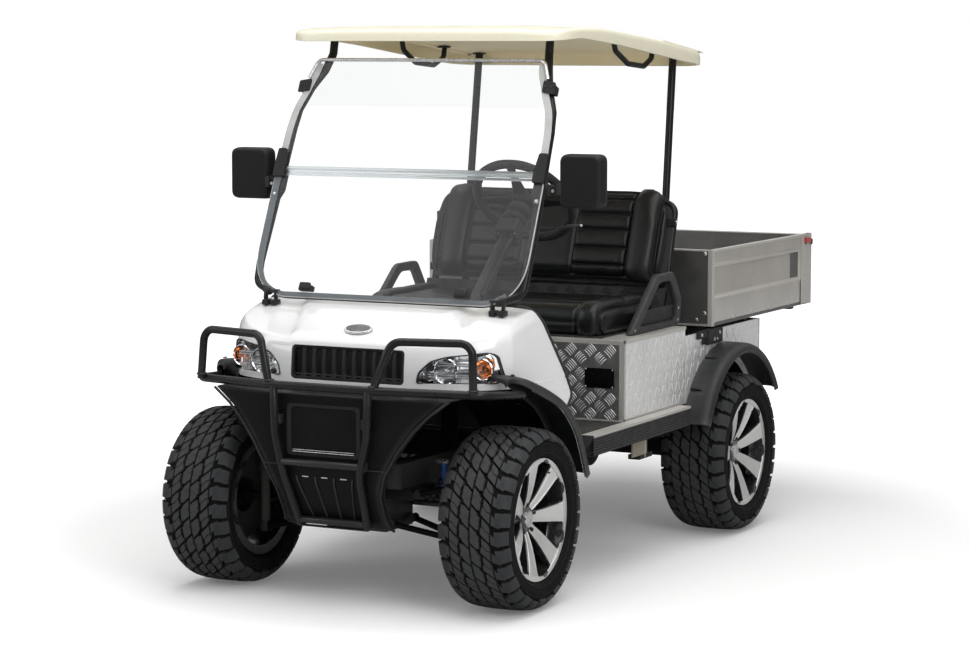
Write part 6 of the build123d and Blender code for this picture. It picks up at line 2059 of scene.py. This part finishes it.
# bases under the cushions, the tread strip between them and the backrest's shell
shell = Piece("seat_shells", "chassis", BLACK_PLASTIC, CHECKER_DARK, BRIGHT)
shell.box((-470, 775, 786.4), (470, 1248, 792), r=3)
strip = placed((0, 1262, 787), (1, 0, 0), (0, -0.94, 0.34))
shell.prism([(-486, 2), (486, 2), (486, 138), (-486, 138)], strip, 3, r=0.8, seg=1, mat=1)
five_bars(shell, strip @ Matrix.Translation((0, 0, 0.003)), (-480, 4), (480, 136), mat=1)
rows = []
for v, x0 in ((14, 458), (60, 474), (200, 478), (290, 466), (340, 440), (352, 420)):
    rows.append([back_point(x, v, w) for x, w in ((-x0, -31.5), (x0, -31.5), (x0, -36.5), (-x0, -36.5))])
shell.grid(rows, close_u=True, cap=True)
for x in (-380, 0, 380):
    for v in (60, 300):
        shell.bolt(back_point(x, v, -36.0), -BACK_OUT, r=8, h=3, kind="dome", mat=2)
shell.done(sharp=34, slot="black_plastic")

hoop_frame = Piece("backrest_frame", "chassis", POWDER, STEEL_BLACK, BRIGHT)
left = [(470, 1280, 792), (470, 1342.5, 915), (470, 1428.5, 1215)]
hoop_frame.tube(left + [(-x, y, z) for x, y, z in reversed(left)], 13, bend=40, seg=16)
for side in (-1, 1):
    hoop_frame.box((side * 448, 1262, 786.4), (side * 489, 1293, 800), r=3, mat=1)
    for dy in (1269, 1287):
        hoop_frame.bolt(P(side * 458, dy, 799), Vector((0, 0, 1)), r=5, h=5, mat=2)
    # brackets that hold the backrest
    for z in (960, 1150):
        y = 1342.5 + (z - 915) * 0.2867
        hoop_frame.box((side * 440, y - 26, z - 14), (side * 486, y - 6, z + 14), r=2.5, mat=1)
        hoop_frame.bolt(P(side * 484, y - 14, z), Vector((side, 0, 0)), r=6, h=5, mat=2)
hoop_frame.done(sharp=40, replaces=("seat_back_frame",), slot="black_tube")

# moulded hip restraints
for side, word in ((1, "left"), (-1, "right")):
    arm = Piece(f"hip_restraint_{word}", "chassis", FLARE_PLASTIC, BRIGHT, BLACK_PLASTIC)
    outer = soften([(889, 787), (1124, 982), (1276, 984), (1350, 882), (1329, 787)], 22, n=5)
    inner = soften([(975, 812), (1150, 950), (1247, 950), (1302, 872), (1290, 812)], 20, n=5)
    n = len(outer)

    def loop_at(points, x, centre=(1170, 880), grow=0.0):
        out = []
        for y, z in points:
            d = Vector((y - centre[0], z - centre[1]))
            d = d.normalized() * grow
            out.append(P(side * x, y + d.x, z + d.y))
        return out

    rows = [loop_at(outer, 508.5, grow=-4), loop_at(outer, 511, grow=-0.8), loop_at(outer, 516, grow=0),
            loop_at(outer, 527, grow=-1), loop_at(outer, 531.6, grow=-6), loop_at(inner, 531.6, grow=6),
            loop_at(inner, 528, grow=1.5), loop_at(inner, 519, grow=0), loop_at(inner, 511, grow=1.0),
            loop_at(inner, 508.5, grow=4)]
    arm.grid(rows, close_u=True, close_v=True)
    # thin web behind the opening's lower part, and its fixings
    arm.prism([(side * y, z) for y, z in ((980, 806), (1060, 862), (1296, 862), (1294, 806))][::side],
              placed((side * 512 if side == 1 else -512, 0, 0), (0, side, 0), (side, 0, 0)), 5, r=1.0, mat=2)
    for y, z in ((930, 803), (1310, 808), (1316, 850)):
        arm.bolt(P(side * 531, y, z), Vector((side, 0, 0)), r=6, h=1.0, kind="dome", mat=1)
    arm.done(sharp=40, replaces=("hip_restraints",), slot="flare_plastic")
# ---------------------------------------------------------------- camera, light and floor
YAW = 0.470                          # radians, from straight ahead along the cart
DIP = 0.103
ROLL = 0.001
FOCAL_WIDTHS = 2695.2 / 970.0        # focal length in widths of the picture
SENSOR = 36.0
EYE = Vector((4.273, -7.584 + AXLE_F / 1000.0, 1.787))
fwd = Vector((-sin(YAW) * cos(DIP), cos(YAW) * cos(DIP), -sin(DIP)))
right = Vector((cos(YAW), sin(YAW), 0.0))
up = right.cross(fwd)
right, up = right * cos(ROLL) + up * sin(ROLL), up * cos(ROLL) - right * sin(ROLL)
cam_data = bpy.data.cameras.new("camera")
cam_data.lens = FOCAL_WIDTHS * SENSOR
cam_data.sensor_width = SENSOR
cam_data.sensor_fit = "HORIZONTAL"
cam_data.clip_end = 200.0
camera = bpy.data.objects.new("camera", cam_data)
camera.matrix_world = Matrix.Translation(EYE) @ Matrix((right, up, -fwd)).transposed().to_4x4()
bpy.context.collection.objects.link(camera)
bpy.context.scene.camera = camera


def area_light(name, place, target, size, power, colour=(1, 1, 1)):
    data = bpy.data.lights.new(name, "AREA")
    data.shape = "RECTANGLE"
    data.size, data.size_y = size
    data.energy = power
    data.color = colour
    lamp = bpy.data.objects.new(name, data)
    lamp.location = place
    lamp.rotation_euler = (Vector(target) - Vector(place)).to_track_quat("-Z", "Y").to_euler()
    bpy.context.collection.objects.link(lamp)
    return lamp


area_light("overhead", (0.4, -0.8, 5.2), (0.0, 0.0, 0.5), (5.0, 6.0), 250.0)
area_light("key", (4.6, -4.2, 3.6), (0.0, -0.3, 0.8), (2.6, 3.2), 115.0)
area_light("fill", (-4.6, -4.4, 3.0), (0.0, -0.5, 0.7), (2.6, 3.0), 60.0)

AMBIENT = 0.31
world = bpy.data.worlds.new("studio")
bpy.context.scene.world = world
world.use_nodes = True
tree = world.node_tree
tree.nodes.clear()
path = node(tree, "ShaderNodeLightPath")
bounced = node(tree, "ShaderNodeMath", {0: path.outputs["Diffuse Depth"], 1: path.outputs["Glossy Depth"]},
               operation="ADD").outputs[0]
direct = ramp(tree, bounced, 0.0, 1.0, 1.0, AMBIENT)
through = node(tree, "ShaderNodeMath", {0: path.outputs["Is Transmission Ray"], 1: direct},
               operation="MULTIPLY").outputs[0]
seen = node(tree, "ShaderNodeMath", {0: path.outputs["Is Camera Ray"], 1: through},
            operation="MAXIMUM").outputs[0]
ambient = node(tree, "ShaderNodeBackground", {"Color": (1, 1, 1, 1), "Strength": AMBIENT}).outputs[0]
backdrop = node(tree, "ShaderNodeBackground", {"Color": (1, 1, 1, 1), "Strength": 1.0}).outputs[0]
# what shiny surfaces mirror: a studio that is brighter overhead than at its walls
toward = node(tree, "ShaderNodeTexCoord").outputs["Generated"]
height = node(tree, "ShaderNodeSeparateXYZ", {"Vector": toward}).outputs[2]
glare = ramp(tree, height, 0.05, 0.85, 0.13, 1.0)
mirrored = node(tree, "ShaderNodeBackground", {"Color": (1, 1, 1, 1), "Strength": glare})
shade = node(tree, "ShaderNodeMixShader", {0: path.outputs["Is Glossy Ray"], 1: ambient,
                                           2: mirrored.outputs[0]}).outputs[0]
shade = node(tree, "ShaderNodeMixShader", {0: seen, 1: shade, 2: backdrop}).outputs[0]
node(tree, "ShaderNodeOutputWorld", {"Surface": shade})

floor_mesh = bpy.data.meshes.new("studio_floor")
FAR = 60.0
floor_mesh.from_pydata([(-FAR, -FAR, 0), (FAR, -FAR, 0), (FAR, FAR, 0), (-FAR, FAR, 0)], [], [(0, 1, 2, 3)])
studio_floor = bpy.data.objects.new("studio_floor", floor_mesh)
studio_floor.location.z = -0.001
bpy.context.collection.objects.link(studio_floor)
mat = bpy.data.materials.new("studio_floor")
mat.use_nodes = True
tree = mat.node_tree
bsdf = tree.nodes["Principled BSDF"]
bsdf.inputs["Roughness"].default_value = 0.7
bsdf.inputs["Specular IOR Level"].default_value = 0.2
where = node(tree, "ShaderNodeTexCoord").outputs["Object"]
speck = node(tree, "ShaderNodeTexNoise", {"Vector": where, "Scale": 0.6, "Detail": 2.0}).outputs["Fac"]
path = node(tree, "ShaderNodeLightPath")
pale = mix(tree, speck, (0.88, 0.88, 0.88), (0.9, 0.9, 0.9))
tree.links.new(mix(tree, path.outputs["Is Glossy Ray"], pale, (0.45, 0.45, 0.45)), bsdf.inputs["Base Color"])
mirrored = node(tree, "ShaderNodeMath", {0: path.outputs["Is Glossy Ray"], 1: 0.25},
                operation="MULTIPLY").outputs[0]
seen = node(tree, "ShaderNodeMath", {0: path.outputs["Is Camera Ray"], 1: mirrored},
            operation="MAXIMUM").outputs[0]
seen = node(tree, "ShaderNodeMath", {0: seen, 1: path.outputs["Is Transmission Ray"]},
            operation="MAXIMUM").outputs[0]
away = node(tree, "ShaderNodeVectorMath", {0: where}, operation="LENGTH").outputs["Value"]
lift = node(tree, "ShaderNodeMath", {0: ramp(tree, away, 1.6, 4.0, 0.12, 0.9), 1: seen},
            operation="MULTIPLY").outputs[0]
glow = node(tree, "ShaderNodeEmission", {"Color": (1, 1, 1, 1), "Strength": lift}).outputs[0]
both = node(tree, "ShaderNodeAddShader", {0: bsdf.outputs[0], 1: glow}).outputs[0]
tree.links.new(both, tree.nodes["Material Output"].inputs["Surface"])
floor_mesh.materials.append(mat)

bpy.context.scene.view_settings.view_transform = "Standard"
